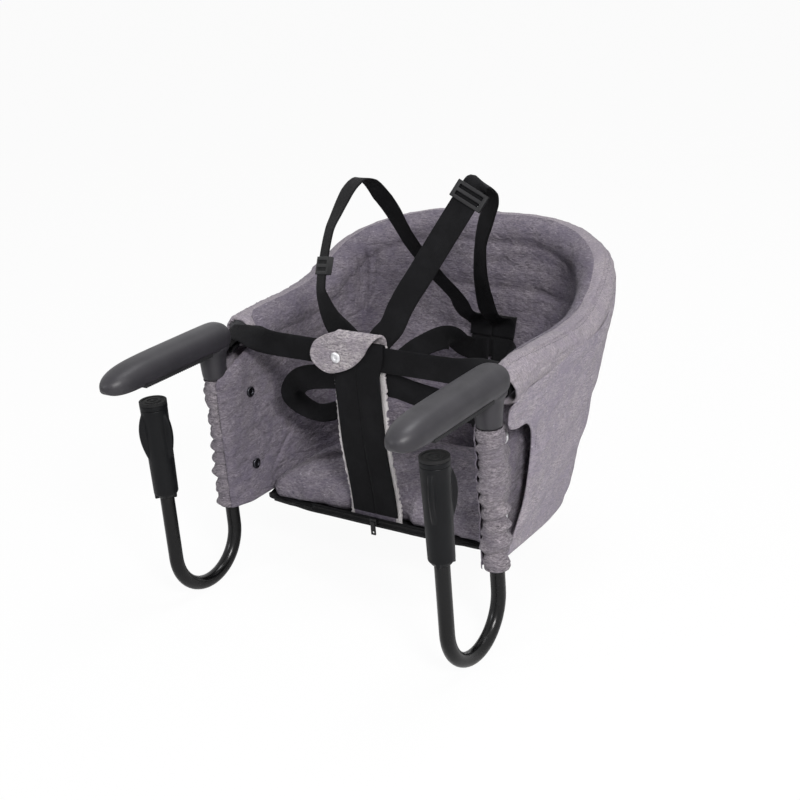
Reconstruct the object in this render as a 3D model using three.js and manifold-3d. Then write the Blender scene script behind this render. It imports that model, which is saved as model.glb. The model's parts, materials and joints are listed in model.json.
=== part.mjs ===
// Hook-on table chair: a fabric seat bucket hung between two grip arms, held to a table
// by two swivelling hooks whose screw clamps press up from below.
// Millimetres, +Z up. The origin is midway between the arms, on the line of the two hook
// axes, in the plane of the table top. The child faces -Y, towards the table.

import * as THREE from 'three';
import { mergeVertices } from 'three/addons/utils/BufferGeometryUtils.js';
import Module from 'manifold-3d';

const wasm = await Module();
wasm.setup();

// Overall layout
const HALF_SPACING = 182;
const RAIL_DEPTH = 323;
const RAIL_RISE = 78;
const SEAT_DROP = 192;
const TOUCH_GAP = 0.3;
const RUNNING_GAP = 0.5;
const OVERRUN = 12;

// Tube sizes
const TUBE_RADIUS = 8;
const TUBE_BORE_RADIUS = 6.3;

// Grip arm
const ARM_REACH = 168;
const ARM_BACK = 19;
const ARM_WIDTH = 40;
const ARM_HEIGHT = 30;
const BOSS_RADIUS = 13.8;
const BOSS_DROP = 33.5;
const BOSS_TOP = 10;
const BOSS_FLARE = 3;

// Steel arm core
const CORE_WIDTH = 25;
const CORE_BOTTOM = 6;
const CORE_THICKNESS = 11.5;
const CORE_END_MARGIN = 30;
const SOCKET_WALL = 1.6;
const SOCKET_CAP_BOTTOM = 16.5;
const SOCKET_CAP_THICKNESS = 2.5;
const STUB_RADIUS = 5.2;
const STUB_LENGTH = 20;
const BUSH_WALL = 1.5;
const BUSH_FLANGE = 1.4;

// Toothed rubber under the arm
const GRIP_THICKNESS = 4;
const GRIP_WIDTH = 35;
const GRIP_END_MARGIN = 42;
const GRIP_REAR = 19;
const GRIP_SPINE_HEIGHT = 1.6;
const TOOTH_DEPTH = 1.5;
const TOOTH_COUNT = 35;
const TOOTH_LAND_SHARE = 0.45;
const SCREW_HEAD_RADIUS = 4;
const SCREW_HEAD_HEIGHT = 2;
const SCREW_RADIUS = 2;
const SCREW_LENGTH = 11;
const SCREW_FRONT_MARGIN = 14;
const SCREW_REAR_MARGIN = 21;

// Hook
const HOOK_TOP = 14;
const HOOK_BEND_CENTRE = 218;
const HOOK_LEG_SPACING = 101;
const HOOK_TUBE_END = 123;
const HOOK_BEND_STEPS = 8;
const RETAINER_HEAD_RADIUS = 5.5;
const RETAINER_HEAD_HEIGHT = 3.4;
const RETAINER_SHANK_RADIUS = 3;
const RETAINER_PLUG_LENGTH = 18;

// Screw clamp
const PAD_TOP = 25;
const PAD_THICKNESS = 3.5;
const PAD_RADIUS = 15.2;
const PAD_RING_COUNT = 2;
const PAD_RING_DEPTH = 0.8;
const CARRIER_THICKNESS = 4.7;
const CARRIER_STEM_RADIUS = 4.2;
const CARRIER_HEAD_RADIUS = 5.6;
const CARRIER_HEAD_HEIGHT = 2.2;
const KNOB_LENGTH = 105;
const KNOB_TOP_RADIUS = 15;
const KNOB_BOTTOM_RADIUS = 13.7;
const KNOB_CROWN = 4;
const KNOB_CHAMFER = 5;
const KNOB_FIN_COUNT = 3;
const KNOB_FIN_DEPTH = 7;
const KNOB_FIN_THICKNESS = 5;
const KNOB_FIN_TOP = 3;
const KNOB_FIN_LENGTH = 56;
const ROD_RADIUS = 5;
const ROD_RISE = 48;
const ROD_PLUG_LENGTH = 17;
const NUT_HEIGHT = 10;
const NUT_RISE = 33;

// Rail, foam and rim sleeve
const FOAM_RADIUS = 16.2;
const RIM_RADIUS = 19.5;
const RIM_WALL = 2.2;
const BELT_LOOP_START = 24;
const RIM_LEFT_START = 54;
const RIM_RIGHT_START = 26;
const RIM_FOLD = 0.7;
const RIM_FOLD_COUNT = 11;
const RAIL_STEPS = 26;

// Seat bucket
const LINER_THICKNESS = 5;
const OUTER_THICKNESS = 3;
const OUTER_LIFT = 1;
const LINER_START = 19;
const LINER_BELLY = 6;
const OUTER_BELLY = 2;
const WALL_SPACING = 3;
const SLOT_REACH = 72;
const CHANNEL_DEPTH = 3.2;
const CHANNEL_LEVEL_SHARE = 0.27;
const CHANNEL_WIDTH_SHARE = 0.06;
const GATHER_DEPTH = 1.8;
const GATHER_COUNT = 9;
const LINER_COLUMNS = 32;
const LINER_ROWS = 9;
const OUTER_COLUMNS = 26;

// Base and cushion
const BASE_DEPTH = 13;
const BASE_WALL = 2.5;
const BASE_FRONT = 38;
const BASE_REAR = 236;
const BASE_SIDE_MARGIN = 18;
const BASE_ARCH = 6;
const BOARD_THICKNESS = 6;
const CUSHION_THICKNESS = 22;
const CUSHION_CROWN = 9;
const CUSHION_INSET = 12;
const CUSHION_BULGE = 3;
const OUTLINE_POINTS = 36;
const ZIP_LENGTH = 180;
const ZIP_HEIGHT = 7;
const ZIP_THICKNESS = 1.4;
const ZIP_DROP = 4;
const SLIDER_BODY_WIDTH = 9;
const SLIDER_PULL_LENGTH = 16;

// Tube sleeves
const SLEEVE_RADIUS = 14;
const SLEEVE_TAIL = 46;
const SLEEVE_TAIL_THICKNESS = 3;
const SLEEVE_TAIL_LOW = 31;
const SLEEVE_FOLD = 0.9;
const SLEEVE_FOLD_COUNT = 8;
const SLEEVE_STEPS = 12;
const SLEEVE_POINTS = 16;
const SNAP_RADIUS = 5.6;
const SNAP_HEIGHT = 2;
const SNAP_POST_RADIUS = 2;
const SNAP_EASE = 0.5;
const SNAP_SETBACK = 8;
const UPPER_SNAP_DROP = 62;
const LOWER_SNAP_DROP = 150;

// Harness
const WEBBING_WIDTH = 28;
const WEBBING_THICKNESS = 1.6;
const CROTCH_WEBBING_WIDTH = 30;
const CROTCH_PANEL_WIDTH = 67;
const CROTCH_PANEL_THICKNESS = 2.2;
const BELT_Y = 40;
const BELT_Z = 2;
const FLAP_THICKNESS = 2.4;
const FLAP_DROP = 37;
const FLAP_REACH = 12;
const FLAP_WIDTH = 90;
const FLAP_SNAP_X = 29;
const FLAP_SNAP_DROP = 17;
const GLIDE_WIDTH = 38;
const GLIDE_HEIGHT = 20;
const GLIDE_BAR = 4;
const GLIDE_THICKNESS = 6.4;
const LEFT_GLIDE_SETBACK = 39;
const RIGHT_GLIDE_SETBACK = 13;
const YOKE_WIDTH = 62;
const YOKE_HEIGHT = 50;
const YOKE_THICKNESS = 3;

// Finishes
const finish = (color, roughness, metalness) =>
  new THREE.MeshStandardMaterial({ color, roughness, metalness });
const greyFabric = finish(0x8f8b90, 0.95, 0);
const innerFabric = finish(0x726e76, 0.95, 0);
const blackFabric = finish(0x151516, 0.9, 0);
const blackWebbing = finish(0x1d1d1f, 0.8, 0);
const softGrip = finish(0x3a3a3d, 0.6, 0);
const toothedRubber = finish(0x232325, 0.85, 0);
const blackTube = finish(0x1b1b1d, 0.35, 0.5);
const knobPlastic = finish(0x202123, 0.45, 0);
const padRubber = finish(0x161617, 0.85, 0);
const bareSteel = finish(0x9a9b9d, 0.35, 0.9);
const nylon = finish(0xd8d6d0, 0.5, 0);
const foam = finish(0x5a5a5c, 0.95, 0);
const boardPlastic = finish(0x3c3c3e, 0.7, 0);
const silver = finish(0xd9d9db, 0.25, 0.9);
const zipNylon = finish(0x19191a, 0.6, 0);

// Geometry helpers
const point = (x, y, z) => new THREE.Vector3(x, y, z);
const share = (index, count) => index / count;
const blend = (a, b, t) => a + (b - a) * t;
const smooth = (t) => t * t * (3 - 2 * t);
const clamp01 = (t) => Math.min(Math.max(t, 0), 1);
const bell = (t, centre, width) => Math.exp(-(((t - centre) / width) ** 2));

function closedBody(points, faces) {
  let volume = 0;
  for (const [a, b, c] of faces) {
    volume += points[a].dot(points[b].clone().cross(points[c]));
  }
  const index = faces.flatMap(([a, b, c]) => (volume < 0 ? [a, c, b] : [a, b, c]));
  const geometry = new THREE.BufferGeometry();
  const numbers = points.flatMap((p) => [p.x, p.y, p.z]);
  geometry.setAttribute('position', new THREE.Float32BufferAttribute(numbers, 3));
  geometry.setIndex(index);
  return geometry;
}

function centroid(ring) {
  const middle = point(0, 0, 0);
  for (const p of ring) middle.add(p);
  return middle.divideScalar(ring.length);
}

function wallFaces(faces, from, to, count, flip) {
  for (let i = 0; i < count; i += 1) {
    const j = (i + 1) % count;
    if (flip) {
      faces.push([from + i, to + i, from + j], [from + j, to + i, to + j]);
    } else {
      faces.push([from + i, from + j, to + i], [from + j, to + j, to + i]);
    }
  }
}

// A solid through a list of rings with the same number of points, closed at both ends.
function loft(rings) {
  const count = rings[0].length;
  const points = rings.flat();
  const faces = [];
  for (let k = 0; k + 1 < rings.length; k += 1) {
    wallFaces(faces, k * count, (k + 1) * count, count, false);
  }
  const first = points.push(centroid(rings[0])) - 1;
  const last = points.push(centroid(rings[rings.length - 1])) - 1;
  const lastStart = (rings.length - 1) * count;
  for (let i = 0; i < count; i += 1) {
    const j = (i + 1) % count;
    faces.push([first, j, i], [last, lastStart + i, lastStart + j]);
  }
  return closedBody(points, faces);
}

// A tube wall between outer rings and inner rings, open at both ends.
function hollowLoft(outer, inner) {
  const count = outer[0].length;
  const points = [...outer.flat(), ...inner.flat()];
  const innerStart = outer.length * count;
  const faces = [];
  for (let k = 0; k + 1 < outer.length; k += 1) {
    wallFaces(faces, k * count, (k + 1) * count, count, false);
    wallFaces(faces, innerStart + k * count, innerStart + (k + 1) * count, count, true);
  }
  wallFaces(faces, 0, innerStart, count, true);
  const endOuter = (outer.length - 1) * count;
  wallFaces(faces, endOuter, innerStart + endOuter, count, false);
  return closedBody(points, faces);
}

// A padded sheet between two grids of the same size, closed round its border.
function sheet(front, back) {
  const rows = front.length;
  const columns = front[0].length;
  const points = [...front.flat(), ...back.flat()];
  const offset = rows * columns;
  const at = (r, c) => r * columns + c;
  const faces = [];
  for (let r = 0; r + 1 < rows; r += 1) {
    for (let c = 0; c + 1 < columns; c += 1) {
      const [a, b, d, e] = [at(r, c), at(r, c + 1), at(r + 1, c), at(r + 1, c + 1)];
      faces.push([a, b, d], [b, e, d]);
      faces.push([offset + a, offset + d, offset + b], [offset + b, offset + d, offset + e]);
    }
  }
  const border = [];
  for (let c = 0; c + 1 < columns; c += 1) border.push(at(0, c));
  for (let r = 0; r + 1 < rows; r += 1) border.push(at(r, columns - 1));
  for (let c = columns - 1; c > 0; c -= 1) border.push(at(rows - 1, c));
  for (let r = rows - 1; r > 0; r -= 1) border.push(at(r, 0));
  border.forEach((a, i) => {
    const b = border[(i + 1) % border.length];
    faces.push([a, offset + a, b], [b, offset + a, offset + b]);
  });
  return closedBody(points, faces);
}

// A flat strap along a route. Each station gives its middle, the way its face looks and its width.
// Both faces are split along the same diagonals, so that a twisted strap keeps its thickness.
function ribbon(stations, thickness) {
  const corners = stations.flatMap((station, i) => {
    const before = stations[Math.max(i - 1, 0)].middle;
    const after = stations[Math.min(i + 1, stations.length - 1)].middle;
    const along = after.clone().sub(before).normalize();
    const across = along.clone().cross(station.facing).normalize().multiplyScalar(station.width / 2);
    const out = across.clone().cross(along).normalize().multiplyScalar(thickness / 2);
    return [
      station.middle.clone().add(across).add(out),
      station.middle.clone().add(across).sub(out),
      station.middle.clone().sub(across).sub(out),
      station.middle.clone().sub(across).add(out),
    ];
  });
  const end = corners.length - 4;
  const faces = [[0, 2, 1], [0, 3, 2], [end, end + 1, end + 2], [end, end + 2, end + 3]];
  for (let start = 0; start < end; start += 4) {
    for (let k = 0; k < 4; k += 1) {
      const [a, b] = [start + k, start + ((k + 1) % 4)];
      const [d, c] = [a + 4, b + 4];
      faces.push(...(k === 3 ? [[a, b, d], [b, c, d]] : [[a, b, c], [a, c, d]]));
    }
  }
  return closedBody(corners, faces);
}

// Smooth stations between hand-set ones, for a strap of even width.
function strapStations(route, width, steps) {
  const middles = new THREE.CatmullRomCurve3(route.map((r) => r.at), false, 'centripetal');
  const facings = new THREE.CatmullRomCurve3(route.map((r) => r.facing), false, 'centripetal');
  return Array.from({ length: steps + 1 }, (_, i) => ({
    middle: middles.getPoint(share(i, steps)),
    facing: facings.getPoint(share(i, steps)).normalize(),
    width,
  }));
}

function circleRing(count, radius, place) {
  return Array.from({ length: count }, (_, i) => {
    const turn = 2 * Math.PI * share(i, count);
    return place(radius * Math.cos(turn), radius * Math.sin(turn));
  });
}

// Welded corners, no empty triangles, faces looking outward
function welded(geometry) {
  const bare = geometry.clone();
  bare.deleteAttribute('normal');
  bare.deleteAttribute('uv');
  const merged = mergeVertices(bare);
  const place = merged.attributes.position;
  const corner = (i) => new THREE.Vector3().fromBufferAttribute(place, i);
  const corners = Array.from({ length: place.count }, (_, i) => corner(i));
  const faces = [];
  for (let i = 0; i < merged.index.count; i += 3) {
    const [a, b, c] = [0, 1, 2].map((k) => merged.index.getX(i + k));
    if (a !== b && b !== c && c !== a) faces.push([a, b, c]);
  }
  return closedBody(corners, faces);
}

// Solids for cuts and joins
function toSolid(geometry) {
  const whole = welded(geometry);
  const mesh = new wasm.Mesh({
    numProp: 3,
    vertProperties: new Float32Array(whole.attributes.position.array),
    triVerts: new Uint32Array(whole.index.array),
  });
  return new wasm.Manifold(mesh);
}

function toGeometry(solid) {
  const mesh = solid.getMesh();
  const geometry = new THREE.BufferGeometry();
  geometry.setAttribute('position', new THREE.BufferAttribute(new Float32Array(mesh.vertProperties), 3));
  geometry.setIndex(new THREE.BufferAttribute(new Uint32Array(mesh.triVerts), 1));
  return geometry;
}

const join = (base, ...others) =>
  toGeometry(others.reduce((solid, other) => solid.add(toSolid(other)), toSolid(base)));
const cut = (base, ...others) =>
  toGeometry(others.reduce((solid, other) => solid.subtract(toSolid(other)), toSolid(base)));

function boxBetween(low, high) {
  const size = high.clone().sub(low);
  const geometry = new THREE.BoxGeometry(size.x, size.y, size.z);
  geometry.translate((low.x + high.x) / 2, (low.y + high.y) / 2, (low.z + high.z) / 2);
  return geometry;
}

function uprightRod(radius, bottom, top, segments = 16) {
  const geometry = new THREE.CylinderGeometry(radius, radius, top - bottom, segments);
  geometry.rotateX(Math.PI / 2);
  geometry.translate(0, 0, (top + bottom) / 2);
  return geometry;
}

// A turned piece about the local Z axis, from pairs of radius and height.
function turned(profile, segments = 16) {
  const geometry = new THREE.LatheGeometry(profile.map(([r, z]) => new THREE.Vector2(r, z)), segments);
  geometry.rotateX(Math.PI / 2);
  return welded(geometry);
}

// A path that is sampled exactly at its stations
class StationPath extends THREE.Curve {
  constructor(points) {
    super();
    this.points = points;
  }

  getPoint(t, target = new THREE.Vector3()) {
    const place = t * (this.points.length - 1);
    const low = Math.min(Math.floor(place), this.points.length - 2);
    return target.copy(this.points[low]).lerp(this.points[low + 1], place - low);
  }

  getPointAt(t, target) {
    return this.getPoint(t, target);
  }

  getTangent(t, target = new THREE.Vector3()) {
    const last = this.points.length - 1;
    const near = Math.round(t * last);
    const before = this.points[Math.max(near - 1, 0)];
    const after = this.points[Math.min(near + 1, last)];
    return target.copy(after).sub(before).normalize();
  }

  getTangentAt(t, target) {
    return this.getTangent(t, target);
  }
}

function tubeAlong(points, radius, bore, sides) {
  const section = new THREE.Shape().absarc(0, 0, radius, 0, 2 * Math.PI, false);
  section.holes.push(new THREE.Path().absarc(0, 0, bore, 0, 2 * Math.PI, true));
  return welded(new THREE.ExtrudeGeometry(section, {
    steps: points.length - 1,
    curveSegments: sides,
    extrudePath: new StationPath(points),
  }));
}

// The rail: level beside the child, rising round the back. Shares of half spacing, depth and rise.
const RAIL_SHARES = [
  [1.000, 0.0526, -0.058],
  [1.005, 0.105, 0.000],
  [1.011, 0.167, 0.060],
  [1.022, 0.285, 0.090],
  [1.027, 0.406, 0.092],
  [1.033, 0.523, 0.103],
  [1.027, 0.635, 0.180],
  [1.005, 0.737, 0.370],
  [0.940, 0.833, 0.610],
  [0.802, 0.920, 0.780],
  [0.621, 0.988, 0.880],
  [0.412, 1.020, 0.950],
  [0.203, 1.012, 0.985],
];
const railHalf = RAIL_SHARES.map(([x, y, z]) => point(x * HALF_SPACING, y * RAIL_DEPTH, z * RAIL_RISE));
const mirrored = (p) => point(-p.x, p.y, p.z);
const rail = new THREE.CatmullRomCurve3(
  [...railHalf, point(0, RAIL_DEPTH, RAIL_RISE), ...railHalf.map(mirrored).reverse()],
  false,
  'centripetal',
);
rail.arcLengthDivisions = 400;
const RAIL_SIDE_SHARE = 0.3;
const railStart = railHalf[0].y;
const railDirection = rail.getTangent(0);
const railSlope = Math.atan2(railDirection.z, railDirection.y);

function railShareAt(y) {
  let low = 0;
  let high = RAIL_SIDE_SHARE;
  for (let i = 0; i < 30; i += 1) {
    const middle = (low + high) / 2;
    if (rail.getPointAt(middle).y < y) low = middle;
    else high = middle;
  }
  return low;
}

// Outward level direction and frame of the rail at a share of its length
function railFrame(at) {
  const along = rail.getTangentAt(clamp01(at));
  const out = along.clone().cross(point(0, 0, 1)).normalize();
  const up = out.clone().cross(along).normalize();
  return { middle: rail.getPointAt(clamp01(at)), out, up };
}

// The rail, the foam and the rim sleeve share these stations, so that their facets stay parallel
const STATION_MARGIN_SHARE = 0.25;

function railStations(from, to) {
  const between = Array.from({ length: RAIL_STEPS + 1 }, (_, i) => i).filter((i) =>
    i > from * RAIL_STEPS + STATION_MARGIN_SHARE && i < to * RAIL_STEPS - STATION_MARGIN_SHARE);
  return [from, ...between.map((i) => share(i, RAIL_STEPS)), to];
}

function railRings(stations, sides, radiusAt) {
  return stations.map((at) => {
    const frame = railFrame(at);
    return Array.from({ length: sides }, (_, i) => {
      const turn = 2 * Math.PI * share(i, sides);
      const radius = radiusAt(at, turn);
      return frame.middle.clone()
        .addScaledVector(frame.out, radius * Math.cos(turn))
        .addScaledVector(frame.up, radius * Math.sin(turn));
    });
  });
}

// Arm sections: share along the arm from its rear, then shares of half width and of height
const ARM_SHARES = [
  [0.000, 0.62, 0.76, 0.40],
  [0.010, 0.80, 0.88, 0.22],
  [0.035, 0.94, 0.97, 0.06],
  [0.080, 1.00, 1.00, 0.00],
  [0.350, 1.01, 1.00, 0.00],
  [0.650, 1.02, 0.98, 0.00],
  [0.780, 1.00, 0.94, 0.00],
  [0.860, 0.95, 0.87, 0.00],
  [0.920, 0.82, 0.77, 0.02],
  [0.965, 0.60, 0.64, 0.07],
  [0.990, 0.34, 0.51, 0.16],
  [1.000, 0.12, 0.41, 0.27],
];
const ARM_RING_POINTS = 18;
const ARM_CHEEK_SHARE = 0.34;
const ARM_DOME_POWER = 0.82;
const ARM_SOLE_POWER = 0.42;

function armRing([along, width, top, bottom]) {
  const y = blend(ARM_BACK, -ARM_REACH, along);
  const half = (width * ARM_WIDTH) / 2;
  const crown = top * ARM_HEIGHT;
  const sole = bottom * ARM_HEIGHT;
  const cheek = blend(sole, crown, ARM_CHEEK_SHARE);
  return Array.from({ length: ARM_RING_POINTS }, (_, i) => {
    const turn = 2 * Math.PI * share(i, ARM_RING_POINTS);
    const upper = Math.sin(turn) >= 0;
    const power = upper ? ARM_DOME_POWER : ARM_SOLE_POWER;
    const side = Math.sign(Math.cos(turn)) * Math.abs(Math.cos(turn)) ** power;
    const rise = Math.abs(Math.sin(turn)) ** ARM_DOME_POWER;
    return point(half * side, y, upper ? cheek + (crown - cheek) * rise : cheek - (cheek - sole) * rise);
  });
}

const socketBoreRadius = TUBE_RADIUS + RUNNING_GAP + BUSH_WALL + TOUCH_GAP;
const socketRadius = socketBoreRadius + SOCKET_WALL;
const socketBottom = BUSH_FLANGE + TOUCH_GAP - BOSS_DROP;
const socketTop = SOCKET_CAP_BOTTOM + SOCKET_CAP_THICKNESS;
const gripTop = GRIP_THICKNESS;
const coreReach = ARM_REACH - CORE_END_MARGIN;
const gripFront = ARM_REACH - GRIP_END_MARGIN;
const screwFrontY = gripFront - SCREW_FRONT_MARGIN;
const screwRearY = GRIP_REAR + SCREW_REAR_MARGIN;
const coreTop = CORE_BOTTOM + CORE_THICKNESS;
const grooveDepth = gripTop + TOUCH_GAP;

// Placed along the rail's front end
function alongRail(geometry) {
  geometry.rotateX(railSlope - Math.PI / 2);
  return geometry;
}

function armCover() {
  const arm = loft(ARM_SHARES.map(armRing));
  const boss = loft([
    [BOSS_TOP, BOSS_FLARE, BOSS_FLARE],
    [0, BOSS_FLARE / 2, BOSS_FLARE],
    [-BOSS_DROP / 2, 0, BOSS_FLARE / 3],
    [BOSS_FLARE - BOSS_DROP, 0, 0],
    [-BOSS_DROP, 0, -BOSS_FLARE / 3],
  ].map(([z, shift, grow]) => circleRing(20, BOSS_RADIUS + grow, (x, y) => point(x, y + shift, z))));
  const coreCavity = boxBetween(
    point(-CORE_WIDTH / 2 - TOUCH_GAP, -coreReach - TOUCH_GAP, gripTop),
    point(CORE_WIDTH / 2 + TOUCH_GAP, 0, coreTop + TOUCH_GAP),
  );
  const socketCavity = uprightRod(socketRadius + TOUCH_GAP, -BOSS_DROP - OVERRUN, socketTop + TOUCH_GAP);
  const headTop = socketTop + RETAINER_HEAD_HEIGHT + RUNNING_GAP + RUNNING_GAP;
  const headCavity = uprightRod(RETAINER_HEAD_RADIUS + RUNNING_GAP, 0, headTop, 12);
  const gripPocket = boxBetween(
    point(-ARM_WIDTH, -gripFront - TOUCH_GAP, -OVERRUN),
    point(ARM_WIDTH, -GRIP_REAR + TOUCH_GAP, grooveDepth),
  );
  const railHole = alongRail(uprightRod(TUBE_RADIUS + TOUCH_GAP, 0, ARM_BACK + OVERRUN));
  railHole.translate(0, 0, railHalf[0].z - railHalf[0].y * Math.tan(railSlope));
  return cut(join(arm, boss), coreCavity, socketCavity, headCavity, gripPocket, railHole);
}

function armCore() {
  const bar = boxBetween(
    point(-CORE_WIDTH / 2, -coreReach, CORE_BOTTOM),
    point(CORE_WIDTH / 2, 0, coreTop));
  const socket = uprightRod(socketRadius, socketBottom, socketTop);
  const stubStart = socketBoreRadius + SOCKET_WALL / 2;
  const stub = alongRail(uprightRod(STUB_RADIUS, stubStart, stubStart + STUB_LENGTH, 14));
  stub.translate(0, 0, railHalf[0].z - railHalf[0].y * Math.tan(railSlope));
  const bore = uprightRod(socketBoreRadius, socketBottom - OVERRUN, SOCKET_CAP_BOTTOM);
  const boltHole = uprightRod(RETAINER_SHANK_RADIUS + RUNNING_GAP, 0, socketTop + OVERRUN, 12);
  const holes = [screwFrontY, screwRearY].map((y) => {
    const hole = uprightRod(SCREW_RADIUS + TOUCH_GAP, 0, coreTop + OVERRUN, 10);
    hole.translate(0, -y, 0);
    return hole;
  });
  return cut(join(bar, socket, stub), bore, boltHole, ...holes);
}

// A nylon bush with a flange under the socket
function socketBush() {
  const inner = TUBE_RADIUS + RUNNING_GAP;
  const outer = socketBoreRadius - TOUCH_GAP;
  const bottom = -BOSS_DROP;
  const flangeTop = bottom + BUSH_FLANGE;
  return turned([
    [inner, bottom],
    [socketRadius, bottom],
    [socketRadius, flangeTop],
    [outer, flangeTop],
    [outer, SOCKET_CAP_BOTTOM - TOUCH_GAP],
    [inner, SOCKET_CAP_BOTTOM - TOUCH_GAP],
    [inner, bottom],
  ]);
}

function gripRubber() {
  const length = gripFront - GRIP_REAR;
  const pitch = length / TOOTH_COUNT;
  const land = (pitch * TOOTH_LAND_SHARE) / 2;
  const outline = new THREE.Shape();
  outline.moveTo(-gripFront, gripTop);
  outline.lineTo(-gripFront, TOOTH_DEPTH);
  for (let i = 0; i < TOOTH_COUNT; i += 1) {
    const middle = -gripFront + pitch * (i + 0.5);
    outline.lineTo(middle - land, 0);
    outline.lineTo(middle + land, 0);
    outline.lineTo(middle + pitch / 2, TOOTH_DEPTH);
  }
  outline.lineTo(-GRIP_REAR, gripTop);
  const plate = new THREE.ExtrudeGeometry(outline, { depth: GRIP_WIDTH, bevelEnabled: false });
  plate.rotateY(Math.PI / 2);
  plate.rotateX(Math.PI / 2);
  plate.translate(-GRIP_WIDTH / 2, 0, 0);
  const spine = boxBetween(
    point(-CORE_WIDTH / 2, -gripFront, TOOTH_DEPTH),
    point(CORE_WIDTH / 2, -GRIP_REAR, gripTop + GRIP_SPINE_HEIGHT),
  );
  const cuts = [screwFrontY, screwRearY].flatMap((y) => {
    const seat = uprightRod(SCREW_HEAD_RADIUS + TOUCH_GAP, -OVERRUN, gripTop, 12);
    const hole = uprightRod(SCREW_RADIUS + TOUCH_GAP, 0, gripTop + OVERRUN, 10);
    seat.translate(0, -y, 0);
    hole.translate(0, -y, 0);
    return [seat, hole];
  });
  return cut(join(plate, spine), ...cuts);
}

function gripScrew() {
  const headTop = gripTop - TOUCH_GAP;
  const headBottom = headTop - SCREW_HEAD_HEIGHT;
  return turned([
    [0, headBottom],
    [SCREW_HEAD_RADIUS, headBottom],
    [SCREW_HEAD_RADIUS, headTop],
    [SCREW_RADIUS, headTop],
    [SCREW_RADIUS, headTop + SCREW_LENGTH],
    [0, headTop + SCREW_LENGTH],
  ], 10);
}

// Hook parts, in the hook's own frame with the swivel axis at x = y = 0
function hookTube() {
  const bendRadius = HOOK_LEG_SPACING / 2;
  const points = [point(0, 0, HOOK_TOP)];
  for (let i = 0; i <= HOOK_BEND_STEPS; i += 1) {
    const turn = Math.PI * share(i, HOOK_BEND_STEPS);
    const height = -HOOK_BEND_CENTRE - bendRadius * Math.sin(turn);
    points.push(point(0, bendRadius * (Math.cos(turn) - 1), height));
  }
  points.push(point(0, -HOOK_LEG_SPACING, -HOOK_TUBE_END));
  return tubeAlong(points, TUBE_RADIUS, TUBE_BORE_RADIUS, 6);
}

function hookRetainer() {
  const plugTop = HOOK_TOP - RUNNING_GAP;
  const plugRadius = TUBE_BORE_RADIUS - RUNNING_GAP;
  const headBottom = socketTop + TOUCH_GAP;
  return turned([
    [0, plugTop - RETAINER_PLUG_LENGTH],
    [plugRadius, plugTop - RETAINER_PLUG_LENGTH],
    [plugRadius, plugTop],
    [RETAINER_SHANK_RADIUS, plugTop],
    [RETAINER_SHANK_RADIUS, headBottom],
    [RETAINER_HEAD_RADIUS, headBottom],
    [RETAINER_HEAD_RADIUS, headBottom + RETAINER_HEAD_HEIGHT],
    [0, headBottom + RETAINER_HEAD_HEIGHT],
  ], 12);
}

const knobTop = -PAD_TOP - PAD_THICKNESS - CARRIER_THICKNESS - TOUCH_GAP - TOUCH_GAP;
const knobBottom = knobTop - KNOB_LENGTH;
const knobCeiling = knobTop - KNOB_CROWN;
const nutBottom = -HOOK_TUBE_END + NUT_RISE;
const nutTop = nutBottom + NUT_HEIGHT;
const knobBore = TUBE_RADIUS + RUNNING_GAP;
const headBore = CARRIER_HEAD_RADIUS + RUNNING_GAP;

// The screw fixed in the open end of the hook's short leg
function threadRod() {
  const plugRadius = TUBE_BORE_RADIUS - RUNNING_GAP;
  return turned([
    [0, -HOOK_TUBE_END - ROD_PLUG_LENGTH],
    [plugRadius, -HOOK_TUBE_END - ROD_PLUG_LENGTH],
    [plugRadius, -HOOK_TUBE_END],
    [ROD_RADIUS, -HOOK_TUBE_END],
    [ROD_RADIUS, -HOOK_TUBE_END + ROD_RISE - ROD_RADIUS / 4],
    [ROD_RADIUS * 3 / 4, -HOOK_TUBE_END + ROD_RISE],
    [0, -HOOK_TUBE_END + ROD_RISE],
  ], 14);
}

function clampNut() {
  const nut = new THREE.Shape().absarc(0, 0, knobBore - TOUCH_GAP, 0, 2 * Math.PI, false);
  nut.holes.push(new THREE.Path().absarc(0, 0, ROD_RADIUS + RUNNING_GAP, 0, 2 * Math.PI, true));
  const geometry = new THREE.ExtrudeGeometry(
    nut, { depth: NUT_HEIGHT, bevelEnabled: false, curveSegments: 6 });
  geometry.translate(0, 0, nutBottom);
  return welded(geometry);
}

function clampPad() {
  const bottom = -PAD_TOP - PAD_THICKNESS;
  const profile = [[0, bottom], [PAD_RADIUS, bottom]];
  const ringWidth = PAD_RADIUS / (2 * PAD_RING_COUNT + 1);
  const grooveFloor = -PAD_TOP - PAD_RING_DEPTH;
  for (let i = 0; i < PAD_RING_COUNT; i += 1) {
    const outer = PAD_RADIUS - 2 * i * ringWidth;
    profile.push([outer, -PAD_TOP], [outer - ringWidth, -PAD_TOP]);
    profile.push([outer - ringWidth, grooveFloor], [outer - 2 * ringWidth, grooveFloor]);
  }
  profile.push([ringWidth, -PAD_TOP], [0, -PAD_TOP]);
  return turned(profile, 16);
}

function padCarrier() {
  const top = -PAD_TOP - PAD_THICKNESS - TOUCH_GAP;
  const bottom = top - CARRIER_THICKNESS;
  const stemBottom = knobCeiling - TOUCH_GAP;
  return turned([
    [0, top],
    [PAD_RADIUS, top],
    [PAD_RADIUS, bottom],
    [CARRIER_STEM_RADIUS, bottom],
    [CARRIER_STEM_RADIUS, stemBottom],
    [CARRIER_HEAD_RADIUS, stemBottom],
    [CARRIER_HEAD_RADIUS, stemBottom - CARRIER_HEAD_HEIGHT],
    [0, stemBottom - CARRIER_HEAD_HEIGHT],
  ], 16);
}

const FIN_LEAN_POWER = 0.85;
const FIN_ROUND_POWER = 0.9;

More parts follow.
